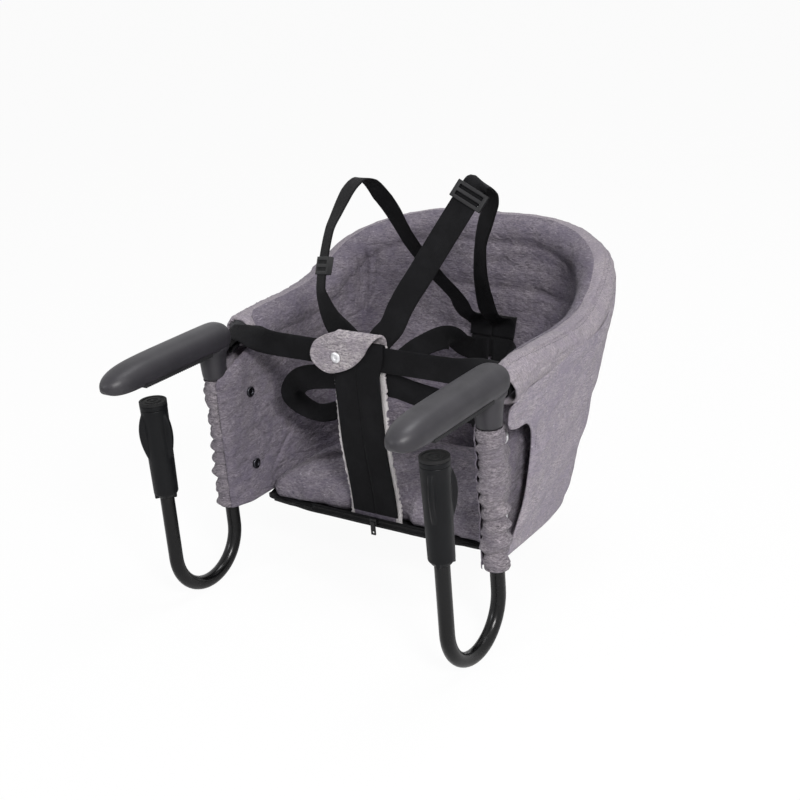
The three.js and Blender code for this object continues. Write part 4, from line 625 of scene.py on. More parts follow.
def melange(name, dark, light, patch_tint, streaks=(210, 210, 760), cloth=False, contrast=1.0, weave=1.0, pale=0.3,
            rumple=1.0):
    """Knitted cloth of light and dark fibres: short streaks, soft clouds and single pale flecks."""
    finish = Finish(name, roughness=0.95, sheen=0.08, gloss=0.12)
    along = finish.place(streaks, cloth=cloth)
    even = finish.place(cloth=cloth)
    streak = finish.noise(along, detail=4.0, roughness=0.72)
    streak_share = finish.between(streak, 0.5 - 0.17 / contrast, 0.5 + 0.17 / contrast)
    fine = finish.noise(finish.place([2.4 * s for s in streaks], cloth=cloth), detail=2.0, roughness=0.7)
    fine_share = finish.between(fine, 0.36, 0.64)
    cloud = finish.between(finish.noise(even, scale=55.0, detail=4.0, roughness=0.6), 0.36, 0.64)
    wide_cloud = finish.between(finish.noise(even, scale=11.0, detail=2.0), 0.35, 0.65)
    threads = streak_share * 0.62 + fine_share * 0.38
    base = finish.mix(threads, dark, light)
    tinted = finish.mix(cloud * 0.45 + wide_cloud * 0.25, base, patch_tint)
    flecks = finish.between(
        finish.noise(finish.place([0.9 * s for s in streaks], cloth=cloth), detail=1.0), 0.66, 0.76)
    bright = tuple(min(1.0, 1.6 * v) for v in light[:3]) + (1,)
    finish.feed("Base Color", finish.mix(flecks * pale, tinted, bright))
    finish.feed("Roughness", finish.between(threads, 0.0, 1.0, 0.98, 0.88))
    finish.bump(threads, 0.00035 * weave)
    finish.bump(finish.cells(even, scale=1100.0), 0.00010 * weave)
    rumpled = finish.noise(finish.place((62, 62, 120)), detail=3.0, roughness=0.55, distortion=0.6)
    finish.bump(rumpled, 0.0042 * rumple)
    return finish.material


def webbing(name, dark, light, ribs=520.0):
    """Woven strap: fine ribs across it and a worn, slightly paler crown."""
    finish = Finish(name, roughness=0.72, sheen=0.02, gloss=0.06)
    flat = finish.place(cloth=True)
    rows = finish.waves(flat, ribs / 2, "X")
    chevron = finish.waves(finish.place(turn=(0, 0, math.radians(38)), cloth=True), ribs / 1.4, "Y")
    grain = finish.noise(finish.place((900, 900, 900)), detail=2.0)
    threads = rows * 0.6 + chevron * 0.4
    wear = finish.between(finish.noise(finish.place(), scale=45.0, detail=4.0), 0.45, 0.7)
    tone = finish.mix(finish.between(threads * 0.7 + grain * 0.3, 0.25, 0.75), dark, light)
    worn = tuple(min(1.0, 2.0 * v) for v in light[:3]) + (1,)
    finish.feed("Base Color", finish.mix(wear * 0.22, tone, worn))
    finish.feed("Roughness", finish.between(grain, 0.2, 0.8, 0.72, 0.52))
    finish.bump(threads, 0.00025)
    finish.bump(grain, 0.00006)
    return finish.material


def moulded(name, colour, pale, roughness=0.5, grain=1400.0, grain_depth=0.00004, coat=0.0, soft=0.0, gloss=0.3):
    """Moulded plastic or rubber: spark grain, slight cloudiness and paler rubbed spots."""
    finish = Finish(name, roughness=roughness, coat=coat, sheen=soft, gloss=gloss)
    place = finish.place()
    spark = finish.noise(place, scale=grain, detail=2.0)
    cloud = finish.noise(place, scale=30.0, detail=4.0)
    scuff = finish.between(finish.noise(finish.place((40, 160, 90)), detail=5.0, roughness=0.7), 0.58, 0.75)
    finish.feed("Base Color", finish.mix(
        finish.between(cloud, 0.3, 0.7, 0.0, 0.35) + scuff * 0.3, colour, pale))
    finish.feed("Roughness", finish.between(cloud + spark * 0.5, 0.4, 1.1, roughness + 0.09, roughness - 0.09))
    finish.bump(spark, grain_depth)
    return finish.material


def metal(name, colour, roughness, brushed=(60, 60, 2500), metallic=1.0, coat=0.0):
    """Metal or painted metal with fine drawing marks and small spots."""
    finish = Finish(name, roughness=roughness, metallic=metallic, coat=coat)
    drawn = finish.noise(finish.place(brushed), detail=2.0)
    marks = finish.between(finish.noise(finish.place(), scale=220.0, detail=4.0), 0.6, 0.72)
    darker = tuple(0.7 * v for v in colour[:3]) + (1,)
    finish.feed("Base Color", finish.mix(drawn * 0.5 + marks * 0.3, colour, darker))
    finish.feed("Roughness", finish.between(drawn + marks * 0.4, 0.3, 1.0, roughness - 0.06, roughness + 0.12))
    finish.bump(drawn, 0.00002)
    return finish.material


def cellular(name, colour, dark):
    """Open-cell foam, its pore hollows painted darker as shade."""
    finish = Finish(name, roughness=0.95)
    pores = finish.between(finish.cells(finish.place(), scale=900.0), 0.1, 0.5)
    # The pore hollows take the dark colour: painted shade in the pores.
    finish.feed("Base Color", finish.mix(pores, dark, colour))
    finish.feed("Roughness", finish.between(pores, 0.0, 1.0, 0.99, 0.9))
    finish.bump(pores, 0.0003)
    return finish.material


OUTER_CLOTH = melange("outer_cloth", shade(98, 92, 101), shade(190, 183, 189), shade(132, 125, 141))
RIM_CLOTH = melange("rim_cloth", shade(95, 89, 97), shade(187, 180, 184), shade(127, 120, 133), cloth=True,
                    streaks=(760, 210, 760))
# The lining's cloth is the grey cloth darkened as painted shade for the inside of the bucket; the crotch panel wears
# it too.
INNER_CLOTH_PAINTED_SHADE = melange("inner_cloth", shade(69, 65, 73), shade(151, 144, 152), shade(93, 87, 103), contrast=1.15)
SLEEVE_CLOTH = melange("sleeve_cloth", shade(62, 58, 64), shade(172, 165, 170), shade(104, 98, 109), contrast=1.4)
FLAP_CLOTH = melange("flap_cloth", shade(84, 80, 86), shade(214, 207, 208), shade(132, 124, 136), contrast=1.5)
# The cushion's cloth is the grey cloth darkened further as painted shade for the shaded bottom of the seat.
CUSHION_CLOTH_PAINTED_SHADE = melange("cushion_cloth", shade(66, 62, 70), shade(166, 159, 166), shade(96, 90, 105), contrast=1.2)
BLACK_CLOTH = melange("black_cloth", shade(7, 7, 8), shade(24, 23, 26), shade(12, 12, 14), streaks=(700, 700, 900),
                      weave=0.8, rumple=0.5)
STRAP_WEBBING = webbing("strap_webbing", shade(7, 7, 8), shade(25, 25, 27))
THREAD = webbing("stitch_thread", shade(84, 80, 86), shade(162, 156, 158), ribs=4000.0)
PALE_BINDING = webbing("pale_binding", shade(150, 145, 147), shade(222, 218, 218), ribs=900.0)
SOFT_GRIP = moulded(
    "soft_grip", shade(36, 35, 39), shade(60, 58, 63), roughness=0.46, grain=2200.0, grain_depth=0.00003, gloss=0.4)
TOOTHED_RUBBER = moulded("toothed_rubber", shade(20, 20, 22), shade(40, 40, 42), roughness=0.7, grain=900.0)
TUBE_PAINT = moulded("tube_paint", shade(7, 7, 8), shade(12, 12, 13), roughness=0.24, grain=700.0,
                     grain_depth=0.000003, gloss=0.26)
KNOB_PLASTIC = moulded(
    "knob_plastic", shade(9, 10, 12), shade(20, 21, 24), roughness=0.44, grain=2600.0, gloss=0.17)
PAD_RUBBER = moulded("pad_rubber", shade(12, 12, 13), shade(34, 34, 35), roughness=0.7, grain=1500.0)
STEEL = metal("bare_steel", shade(176, 177, 179), 0.32)
NYLON = moulded("nylon", shade(206, 203, 196), shade(224, 222, 216), roughness=0.45)
# The second colour is painted shade for the pore hollows.
FOAM = cellular("foam", shade(84, 84, 87), shade(44, 44, 46))
BOARD = moulded("board_plastic", shade(16, 16, 18), shade(36, 36, 38), roughness=0.6, grain=1800.0)
SILVER = metal("snap_silver", shade(238, 238, 241), 0.36, brushed=(400, 400, 400), metallic=0.8)
GUNMETAL = metal("snap_gunmetal", shade(58, 58, 63), 0.3, brushed=(400, 400, 400))
ZIP_NYLON = moulded("zip_nylon", shade(10, 10, 11), shade(34, 34, 36), roughness=0.4, grain=3000.0)
ZIP_TAPE = webbing("zip_tape", shade(8, 8, 9), shade(26, 26, 28), ribs=1400.0)


# The rail and the walls that hang from it, from the same shares as the part's source

RAIL_SHARES = np.array([
    (1.000, 0.0526, -0.058), (1.005, 0.105, 0.000), (1.011, 0.167, 0.060), (1.022, 0.285, 0.090),
    (1.027, 0.406, 0.092), (1.033, 0.523, 0.103), (1.027, 0.635, 0.180), (1.005, 0.737, 0.370),
    (0.940, 0.833, 0.610), (0.802, 0.920, 0.780), (0.621, 0.988, 0.880), (0.412, 1.020, 0.950),
    (0.203, 1.012, 0.985),
])
PLAN_SHARES = np.array([
    (1.000, 0.072), (1.000, 0.290), (0.990, 0.500), (0.935, 0.700), (0.780, 0.870), (0.520, 0.965), (0.260, 0.995),
])
OUTLINE_SHARES = np.array([
    (0.000, 0.000), (0.450, 0.000), (0.850, 0.000), (0.970, 0.018), (1.000, 0.080), (1.000, 0.300),
    (0.985, 0.520), (0.920, 0.710), (0.760, 0.870), (0.500, 0.965), (0.240, 0.995),
])

rail_half = RAIL_SHARES * np.array([HALF_SPACING, RAIL_DEPTH, RAIL_RISE])
RAIL = Line(np.vstack([rail_half, [(0, RAIL_DEPTH, RAIL_RISE)], mirrored(rail_half)[::-1]]))
RAIL_START = rail_half[0, 1]


def rail_share_at(depth):
    """Share along the rail at a depth from the tubes, on the right side."""
    shares = np.linspace(0, 0.3, 1200)
    return float(np.interp(depth, RAIL.at(shares)[:, 1], shares))


def rail_frame(shares):
    """Middle of the rail, its outward level direction and the direction square to both."""
    along = RAIL.way(shares)
    out = unit(np.cross(along, np.array([0.0, 0.0, 1.0])))
    return RAIL.at(shares), out, unit(np.cross(out, along))


def plan_line(half_width, rear):
    """The line on the base that a wall hangs down to."""
    half = spots(PLAN_SHARES[:, 0] * half_width, PLAN_SHARES[:, 1] * rear, 0 * PLAN_SHARES[:, 0])
    return Line(np.vstack([half, [(0, rear, 0)], mirrored(half)[::-1]]))


class Wall:
    """A cloth wall from the rim down to its plan line; places are given by shares along and down."""

    def __init__(self, side, hang, thickness, bottom, belly, plan):
        self.side, self.hang, self.thickness = side, math.radians(hang), thickness
        self.bottom, self.belly, self.plan = bottom, belly, plan

    def place(self, at, level):
        _, out, up = rail_frame(np.clip(at, 0, 1))
        reach = RIM_RADIUS + RIM_FOLD + TOUCH_GAP + self.thickness / 2
        top = RAIL.at(at) + out * self.side * reach * math.cos(self.hang) - up * reach * math.sin(self.hang)
        foot = self.plan.at(at)
        foot[..., 2] = -self.bottom
        level = np.asarray(level)[..., None]
        return blend(top, foot, level) + out * self.belly * np.sin(math.pi * level)

    def normal(self, at, level):
        step = 0.01
        across = self.place(at + step, level) - self.place(at - step, level)
        down = self.place(at, level + step) - self.place(at, level - step)
        return unit(np.cross(down, across))

    def off(self, at, level, inward):
        """A place moved inward from the wall's middle by a distance."""
        return self.place(at, level) - self.normal(at, level) * np.asarray(inward)[..., None]


LINER = Wall(-1, 40, LINER_THICKNESS, BASE_TOP - 4 * TOUCH_GAP, 6 * MM,
             plan_line(BASE_HALF_WIDTH - BASE_WALL / 2, BASE_REAR))
SHELL = Wall(1, 50, OUTER_THICKNESS, 191 * MM, 2 * MM,
             plan_line(HALF_SPACING - OUTER_THICKNESS, BASE_REAR + LINER_THICKNESS + OUTER_THICKNESS + WALL_SPACING))


def grid_of(first, last, rows, columns):
    """Shares down and along for a grid whose rows run from first to last shares along."""
    down = np.linspace(0, 1, rows)[:, None] * np.ones(columns)
    across = np.linspace(0, 1, columns)[None, :]
    return blend(np.asarray(first)[:, None], np.asarray(last)[:, None], across), down


# Rim sleeve

SEAM_SHARES = (0, 0.023, 0.062, 0.12, 0.173, 0.237, 0.282, 0.318, 0.36, 0.5, 0.64, 0.9, 1)
SEAM_TURNS = (90, 84, 66, 56, 60, 70, 66, 50, 42, 42, 48, 60, 64)


def seam_turn(shares):
    """Where the long seam lies round the rim, as a turn from level outward."""
    return np.radians(np.interp(shares, SEAM_SHARES, SEAM_TURNS))


def rim_skin(shares, turn):
    """Radius of the rim's cloth, with its seam, puckers, pleats and slack."""
    run = shares * RAIL.length
    flat = spots(run, turn * RIM_RADIUS)
    apart = np.angle(np.exp(1j * (turn - seam_turn(shares)))) * RIM_RADIUS
    beside = np.abs(apart)
    lines = spots(run + 0.25 * apart, apart * 0.22)
    near = bell(apart, -9 * MM, 9 * MM) + 0.35 * bell(apart, 7 * MM, 5 * MM)
    pucker = near * (ripple(lines, (6.5 * MM, 7 * MM), 5) + 0.4 * ripple(lines, (3.2 * MM, 5 * MM), 6))
    sag = ripple(flat, (60 * MM, 34 * MM), 11) * 0.9 * MM + ripple(flat, (21 * MM, 17 * MM), 12) * 0.35 * MM
    swing = 8 * MM * np.sin(turn + 0.8 * np.sin(run * 18))
    folds = ripple(spots(run + swing, turn * RIM_RADIUS), (13 * MM, 70 * MM), 3)
    bend = smooth((0.37 - np.abs(shares - 0.5)) * 10)
    outer_side = smooth(0.5 + np.cos(turn - math.radians(-20)) * 0.6)
    height = RIM_RADIUS + sag + np.minimum(folds, 0.6) * blend(0.45, 0.8, bend * (1 - outer_side)) * MM
    seam = 0.6 * bell(beside, 3.4 * MM, 2 * MM) - 1.9 * bell(beside, 0, 1.2 * MM)
    return height + (pucker * 1.5 + seam) * MM


RIM_ROWS = 520
RIM_COLUMNS = 132
RIM_LIP = 1.6 * MM
RIM_THROAT = 8.6 * MM
RIM_SLIT_REACH = 12 * MM
RIM_STITCH_INSET = 3 * MM
# Height, place from the end and width of the bead and the seam round each end, in millimetres
RIM_END_FORMS = ((0.9, 6, 3.5), (-1.0, 11, 2))
# How far in the turned-in cloth runs, in millimetres, and the radius of its neck
RIM_TURNED_IN = {"right": ((12, 27, 29), 16.6 * MM), "left": ((3, 6, 7), 14 * MM)}


def rim_sleeve():
    """The padded cloth tube round the rail, closed at both ends by turned-in lips."""
    start, end = rail_share_at(RIM_RIGHT_START), 1 - rail_share_at(RIM_LEFT_START)
    shares = np.linspace(start, end, RIM_ROWS)
    turns = full_turn(RIM_COLUMNS)
    run = shares[:, None] * RAIL.length + 0 * turns
    height = rim_skin(shares[:, None] + 0 * turns, turns[None, :] + 0 * run)
    ends = np.minimum(run - run[0], run[-1] - run)
    for rise, place, width in RIM_END_FORMS:
        height = height + rise * MM * bell(ends, place * MM, width * MM)
    middle, out, up = rail_frame(shares)

    def ring(index, radius, back=0.0):
        way = RAIL.way(shares[index]) * back
        across, rise = radius * np.cos(turns), radius * np.sin(turns)
        return middle[index] + way + out[index] * across[:, None] + up[index] * rise[:, None]

    def turned_in(label, index, side):
        depths, neck = RIM_TURNED_IN[label]
        radii = height[index] - 2 * RIM_LIP, neck, RIM_THROAT
        lip = [ring(index, height[index] - RIM_LIP * (1 - math.cos(angle)), side * RIM_LIP * math.sin(angle))
               for angle in np.linspace(0, math.pi, 7)[1:]]
        return lip + [ring(index, radius, -side * depth * MM) for depth, radius in zip(depths, radii)]

    rings = [ring(k, height[k]) for k in range(RIM_ROWS)]
    first, last = turned_in("right", 0, -1), turned_in("left", -1, 1)
    obj = loft("rim_cover", np.array([*first[::-1], *rings, *last]))
    slit = block(
        (HALF_SPACING - RIM_RADIUS - RIM_SLIT_REACH, 0, -RIM_RADIUS - RIM_SLIT_REACH),
        (HALF_SPACING - TUBE_RADIUS, RIM_LEFT_START, RIM_RADIUS))
    combined(obj, "DIFFERENCE", slit)
    dress(obj, RIM_CLOTH, "rim_sleeve")
    sew_rim(obj)


# Seat bucket

LINER_ROWS = 90
LINER_COLUMNS = 380
LINER_FALL = SEAT_DROP + RAIL_RISE
ROLL_ROWS = 20
WRAP_COLUMNS = 16
WRAP_RADIUS = 15.6 * MM
WRAP_TOP = -12 * MM
WRAP_FADE = 26 * MM
LINER_TURNS = ((54 * MM, 57 * MM, 66 * MM, 76 * MM), (218, 178, 124, 106))
SHELL_TURNS = ((86 * MM, 122 * MM), (-49, -4))
WRAP_END = math.radians(48)
WRAP_EDGE = 0.45 * MM
ROLL_EDGE = 0.25 * MM
ROLL_LIFT = 0.4 * MM
BACK_PADDING = 6 * MM
HEM_STITCH_INSET = 7 * MM


def behind(at):
    """How far round to the seat's back a share along the rail lies, from 0 to 1."""
    return smooth((0.5 - np.abs(at - 0.5)) / 0.5 - 0.35)


def roll_rows(wall, at, turns, rows):
    """Rows of cloth from a wall's top up over the rim as far as turns, thinning out, and half their thickness."""
    last = 180 + math.degrees(wall.hang) if wall.side < 0 else -math.degrees(wall.hang)
    middle, out, up = rail_frame(np.clip(at, 0, 1))
    first = np.interp(RAIL.at(at)[:, 1], *turns)
    share = np.linspace(0, 1, rows, endpoint=False)[:, None]
    turn = np.radians(blend(first, last, share))
    skin = rim_skin(np.clip(at, 0, 1) + 0 * turn, turn)
    swell = smooth(share) * np.ones_like(turn)
    reach = RIM_RADIUS + RIM_FOLD + TOUCH_GAP + wall.thickness / 2
    radius = blend(skin + ROLL_LIFT, np.full_like(turn, reach), swell)
    way = out[None] * np.cos(turn)[..., None] + up[None] * np.sin(turn)[..., None]
    return middle[None] + way * radius[..., None], blend(ROLL_EDGE, wall.thickness / 2, swell)


def liner_wrap(middle, half, side):
    """Columns that carry the lining's front edge round a tube sleeve, and half their thickness."""
    angles = np.linspace(math.radians(6), WRAP_END, 5)
    share = np.linspace(0, 1, WRAP_COLUMNS + 1)[1:]
    round_sleeve = spots(side * (HALF_SPACING - WRAP_RADIUS * np.cos(angles)), -WRAP_RADIUS * np.sin(angles))
    places, halves = [], []
    for row in range(len(middle)):
        edge, next_in, height = middle[row, 0], middle[row, 3], middle[row, 0, 2]
        line = curve_samples(np.vstack([next_in[None, :2], edge[None, :2], round_sleeve]), 24)[24:]
        run = run_along(line)
        drawn = max(float(smooth((WRAP_TOP - height) / WRAP_FADE)), 0.02)
        path = blend(edge[None, :2], read_off(share * run[-1], run, line), drawn)
        places.append(np.column_stack([path, height + 0 * share])[::-1])
        halves.append(blend(half[row, 0], WRAP_EDGE, smooth(share * 1.15))[::-1])
    return np.array(places), np.array(halves)


# Folds of the lining: start and end, each by shares along and down, then width and depth in millimetres
LINER_FOLDS = (
    (0.722, -0.06, 0.734, 0.22, 3.0, 2.6), (0.701, -0.06, 0.708, 0.28, 3.2, 2.8),
    (0.745, -0.04, 0.752, 0.16, 3.0, 1.6), (0.682, 0.02, 0.690, 0.18, 3.5, 1.4),
    (0.768, -0.02, 0.775, 0.14, 3.0, 1.3), (0.660, 0.04, 0.668, 0.17, 3.0, 1.0),
    (0.692, 0.186, 0.704, 0.251, 2.6, 1.8), (0.704, 0.251, 0.751, 0.241, 2.6, 1.9),
    (0.854, -0.16, 0.850, 0.03, 2.2, 1.6), (0.991, 0.126, 0.966, 0.215, 2.0, 1.2),
    (0.966, 0.215, 0.900, 0.245, 2.2, 1.3), (0.998, 0.715, 0.986, 0.775, 2.4, 1.6),
    (0.930, 0.42, 0.902, 0.60, 3.6, 1.1), (0.975, 0.50, 0.940, 0.66, 3.4, 1.2), (0.880, 0.70, 0.930, 0.86, 4.0, 1.3),
    (0.560, 0.34, 0.520, 0.52, 4.0, 1.0), (0.470, 0.30, 0.452, 0.50, 4.4, 1.1), (0.380, 0.28, 0.395, 0.46, 4.2, 1.2),
    (0.618, 0.06, 0.612, 0.22, 3.4, 1.1), (0.335, 0.20, 0.352, 0.40, 4.2, 1.2), (0.25, 0.25, 0.21, 0.50, 4.4, 1.2),
    (0.12, 0.30, 0.08, 0.60, 4.0, 1.1), (0.06, 0.25, 0.03, 0.40, 3.0, 1.0),
)


def liner():
    """The padded lining, from its roll over the rim down to the base and round both tube sleeves."""
    start = (LINER_START - RAIL_START) / RAIL.length
    at, level = grid_of(np.full(LINER_ROWS, start), np.full(LINER_ROWS, 1 - start), LINER_ROWS, LINER_COLUMNS)
    roll, roll_half = roll_rows(LINER, at[0], LINER_TURNS, ROLL_ROWS)
    middle = np.concatenate([roll, LINER.place(at, level)])
    half = np.concatenate([roll_half, np.full(at.shape, LINER_THICKNESS / 2)])
    middle = eased_over(middle, ROLL_ROWS, at[0])
    filled = BACK_PADDING * behind(at) * bell(level, 0.10, 0.13)
    middle[ROLL_ROWS:] -= LINER.normal(at, level) * filled[..., None]
    left_wrap, left_half = liner_wrap(middle[:, ::-1], half[:, ::-1], -1)
    right_wrap, right_half = liner_wrap(middle, half, 1)
    middle = np.concatenate([right_wrap, middle, left_wrap[:, ::-1]], axis=1)
    half = np.concatenate([right_half, half, left_half[:, ::-1]], axis=1)
    across, down = np.gradient(middle, axis=1), np.gradient(middle, axis=0)
    inward = unit(np.cross(across, down))
    at = np.pad(at[0], WRAP_COLUMNS, mode="edge") + 0 * middle[..., 0]
    height = np.concatenate([np.linspace(-0.17, 0, ROLL_ROWS, endpoint=False), np.linspace(0, 1, LINER_ROWS)])
    level = height[:, None] + 0 * at
    relief = liner_relief(at, level, weave_of(middle, wrap=False))
    free = np.clip(half / (LINER_THICKNESS / 2), 0, 1)
    column = np.arange(at.shape[1])
    round_sleeve = smooth(1.1 - np.minimum(column, column[::-1]) / WRAP_COLUMNS) + 0 * at
    drop = middle[..., 2]
    gathers = np.abs(np.sin(drop * 190 + 0.6 * np.sin(column / 5.0))) ** 0.6 - 0.6
    lines = spots(drop, column * 1.2 * MM + 0 * drop)
    gathers = gathers * 1.6 + ripple(lines, (8 * MM, 14 * MM), 26) * 1.3
    middle = middle + inward * (gathers * round_sleeve * (drop < SLEEVE_TOP - 4 * MM) * 0.8 * MM)[..., None]
    near_front = smooth(2.2 - np.minimum(at, 1 - at) * 18) * smooth((level - 0.2) / 0.1) * (level < 0.97)
    behind_slot = np.abs(ripple(spots(at * RAIL.length, drop), (17 * MM, 9 * MM), 27)) * near_front
    front = middle + inward * (half + relief * smooth(free))[..., None]
    back = middle - inward * (half + behind_slot * 3 * MM * smooth(free))[..., None]
    obj = slab("seat_lining", front, back)
    dress(obj, INNER_CLOTH_PAINTED_SHADE, "seat_liner")


def eased_over(middle, joint, at, passes=150, width=13):
    """Rounds the lining's bend under the rim, without letting it sink into the rim."""
    rounded = middle.copy()
    for _ in range(passes):
        rounded[1:-1] = (rounded[:-2] + 2 * rounded[1:-1] + rounded[2:]) / 4
    rows = np.arange(len(middle))
    share = bell(rows, joint + 3, width)[:, None, None]
    found = blend(middle, rounded, share)
    centre, out, up = rail_frame(np.clip(at, 0, 1))
    away = found - centre[None]
    far, before = (np.hypot((ways * out[None]).sum(-1), (ways * up[None]).sum(-1))
                   for ways in (away, middle - centre[None]))
    least = np.minimum(before, RIM_RADIUS + 3.3 * MM)
    grow = np.where(far < least, least / far, 1)
    return centre[None] + away * grow[..., None]


def liner_relief(at, level, flat):
    """Height of the lining's folds, gathers and sewn channel over its middle surface."""
    run, drop = at * RAIL.length, level * LINER_FALL
    flat = spots(flat[..., 1], flat[..., 0])
    line = np.interp(at, [0, 0.31, 0.36, 0.5, 0.6, 1], [0.14, 0.14, 0.19, 0.205, 0.2, 0.2])
    sewn = smooth((at - 0.26) / 0.05) * smooth((0.60 - at) / 0.04)
    channel = CHANNEL_DEPTH * 0.8 * sewn * bell(level, line, 0.013)
    plump = 1.1 * MM * sewn * (bell(level, line - 0.06, 0.035) + bell(level, line + 0.07, 0.045))
    lower = 0.4 * CHANNEL_DEPTH * behind(at) * bell(level, 0.66, 0.03)
    gathers = ripple(spots(run, drop * 0.35), (9 * MM, 30 * MM), 21)
    gathered = smooth((at - 0.60) / 0.04) * smooth((0.80 - at) / 0.05) * bell(level, 0.08, 0.13)
    soft = ripple(flat, (64 * MM, 42 * MM), 22) * 1.9 + ripple(flat, (31 * MM, 24 * MM), 24) * 0.9
    small = ripple(spots(flat[..., 0] + flat[..., 1] * 0.5, flat[..., 1]), (17 * MM, 8 * MM), 23) * 0.45
    fine = ripple(spots(flat[..., 0], flat[..., 1] + flat[..., 0] * 0.3), (9 * MM, 4 * MM), 25) * 0.16
    relief = (soft + small + fine) * MM + gathers * gathered * 2.6 * MM - channel - lower + plump
    places = spots(run, drop)
    for first_at, first_level, last_at, last_level, width, depth in LINER_FOLDS:
        ends = (first_at * RAIL.length, first_level * LINER_FALL), (last_at * RAIL.length, last_level * LINER_FALL)
        relief = relief - 1.5 * depth * MM * crease(places, *ends, 0.9 * width * MM)
        relief = relief + 0.6 * depth * MM * crease(places + np.array([1.9 * width * MM, 0]), *ends, 1.3 * width * MM)
    snap_share = 1 - (SLEEVE_TAIL - SNAP_SETBACK - RAIL_START) / RAIL.length
    for height, share in itertools.product((0.26, 0.75), (snap_share, 1 - snap_share)):
        apart = np.hypot(run - share * RAIL.length, drop - height * LINER_FALL)
        relief = relief * (1 - bell(apart, 0, 9 * MM))
    return relief * smooth((1 - level) / 0.05) * smooth((level + 0.17) / 0.03)


HEM_LEVELS = (0, 0.10, 0.15, 0.20, 0.28, 0.50, 0.70, 0.85, 0.95, 1.0)
HEM_REACHES = (13 * MM, 13 * MM, 24 * MM, 54 * MM, 66 * MM, 67 * MM, 62 * MM, 48 * MM, 34 * MM, 24 * MM)


def hem_share(level):
    """Share along the rail of the outer cover's right front edge."""
    line = curve_samples(spots(np.array(HEM_LEVELS), np.array(HEM_REACHES) * 4), 12)
    return (np.interp(level, line[:, 0], line[:, 1] / 4) - RAIL_START) / RAIL.length


SHELL_ROWS = 92
SHELL_COLUMNS = 330
SHELL_ROLL_ROWS = 12


def shell():
    """The outer wrap, from its roll round the rim down to the base, between its two front hems."""
    rolled = SHELL_ROLL_ROWS
    first = hem_share(np.linspace(0, 1, SHELL_ROWS))
    at, level = grid_of(first, 1 - first, SHELL_ROWS, SHELL_COLUMNS)
    roll, roll_half = roll_rows(SHELL, at[0], SHELL_TURNS, rolled)
    middle = np.concatenate([roll, SHELL.place(at, level)])
    middle = eased_over(middle, rolled, at[0], passes=24, width=5)
    half = np.concatenate([roll_half, np.full(at.shape, OUTER_THICKNESS / 2)])
    inward = -unit(np.cross(np.gradient(middle, axis=1), np.gradient(middle, axis=0)))
    at = np.concatenate([at[:1].repeat(rolled, axis=0), at])
    level = np.concatenate([np.linspace(-0.1, 0, rolled, endpoint=False)[:, None] + 0 * at[:rolled], level])
    run, drop = at * RAIL.length, level * SEAT_DROP * 1.25
    flat = spots(run, drop)
    slack = smooth((level + 0.1) / 0.12) * smooth((1 - level) / 0.1)
    long_folds = ripple(spots(run, drop + run * 0.25), (90 * MM, 26 * MM), 31)
    upright = ripple(flat, (38 * MM, 120 * MM), 32)
    small = ripple(spots(run * 0.7 - drop * 0.4, drop + run * 0.4), (24 * MM, 13 * MM), 33)
    fine = ripple(spots(run + drop * 0.3, drop), (11 * MM, 5 * MM), 34)
    relief = (long_folds * 1.9 + upright * 1.8 + small * 0.9 + fine * 0.22) * MM * slack
    border = np.minimum(run - run[:, :1], run[:, -1:] - run)
    pulls = ripple(spots(drop, run * 0.3), (8 * MM, 14 * MM), 35) * bell(border, 13 * MM, 8 * MM)
    relief = relief * smooth(border / (14 * MM) + 0.2) - 0.7 * MM * bell(border, HEM_STITCH_INSET, 1.2 * MM)
    relief = relief + (pulls * 0.9 + 0.7 * bell(border, 2.5 * MM, 3 * MM)) * MM * slack
    relief = relief * smooth(half / (OUTER_THICKNESS / 2))
    front = middle - inward * (half + relief)[..., None]
    back = middle + inward * (half - relief)[..., None]
    obj = slab("outer_wrap", front, back, weave=flat)
    dress(obj, OUTER_CLOTH, "outer_cover")
    sew_hems(obj)


def sew_hems(surface):
    """Two rows of stitches beside the front edges of the outer cover."""
    levels = np.linspace(0.16, 0.96, 70)
    for label, side in SIDES.items():
        share = hem_share(levels) + HEM_STITCH_INSET / RAIL.length
        at = share if side > 0 else 1 - share
        stitches(f"{label}_hem_stitches", SHELL.place(at, levels), surface)


def sew_rim(surface):
    """A row of stitches below the rim's long seam."""
    shares = np.linspace(0.035, 0.955, 240)
    middle, out, up = rail_frame(shares)
    turn = (seam_turn(shares) - RIM_STITCH_INSET / RIM_RADIUS)[:, None]
    line = middle + (out * np.cos(turn) + up * np.sin(turn)) * RIM_RADIUS
    stitches("rim_stitches", line, surface)


# Tube sleeves

SLEEVE_TOP = -BOSS_DROP - TOUCH_GAP
SLEEVE_LENGTH = SEAT_DROP + SLEEVE_TOP
TAIL_SECTION_SHARES = (0.17, 0.46, 0.97, 1.0, 0.97, 0.46, 0.17)
TAIL_ROOT_SHARES = (0.86, -0.93)
SLEEVE_POINTS = 16
SLEEVE_WALL = 1.1 * MM
SLEEVE_ROWS = 150
SLEEVE_COLUMNS = 96
SLEEVE_DEEPEST = -4.4
SLEEVE_BEATS = 9.2
SLEEVE_GATHER = 3.4
SLEEVE_PUCKER = 3.0
SLEEVE_FINE = 1.2
SLEEVE_DRAWN_IN = 0.4 * MM
TAIL_SWAY = 1.8 * MM


def tail_fullness(t):
    """How much of the tail stands out from the tube at a share of the sleeve's drop."""
    return smooth(t / 0.1) * (1 - 0.4 * smooth((t - 0.85) / 0.15))


def tail_length(t):
    return blend(SLEEVE_TAIL, SLEEVE_TAIL_LOW, smooth(2 * t - 1))


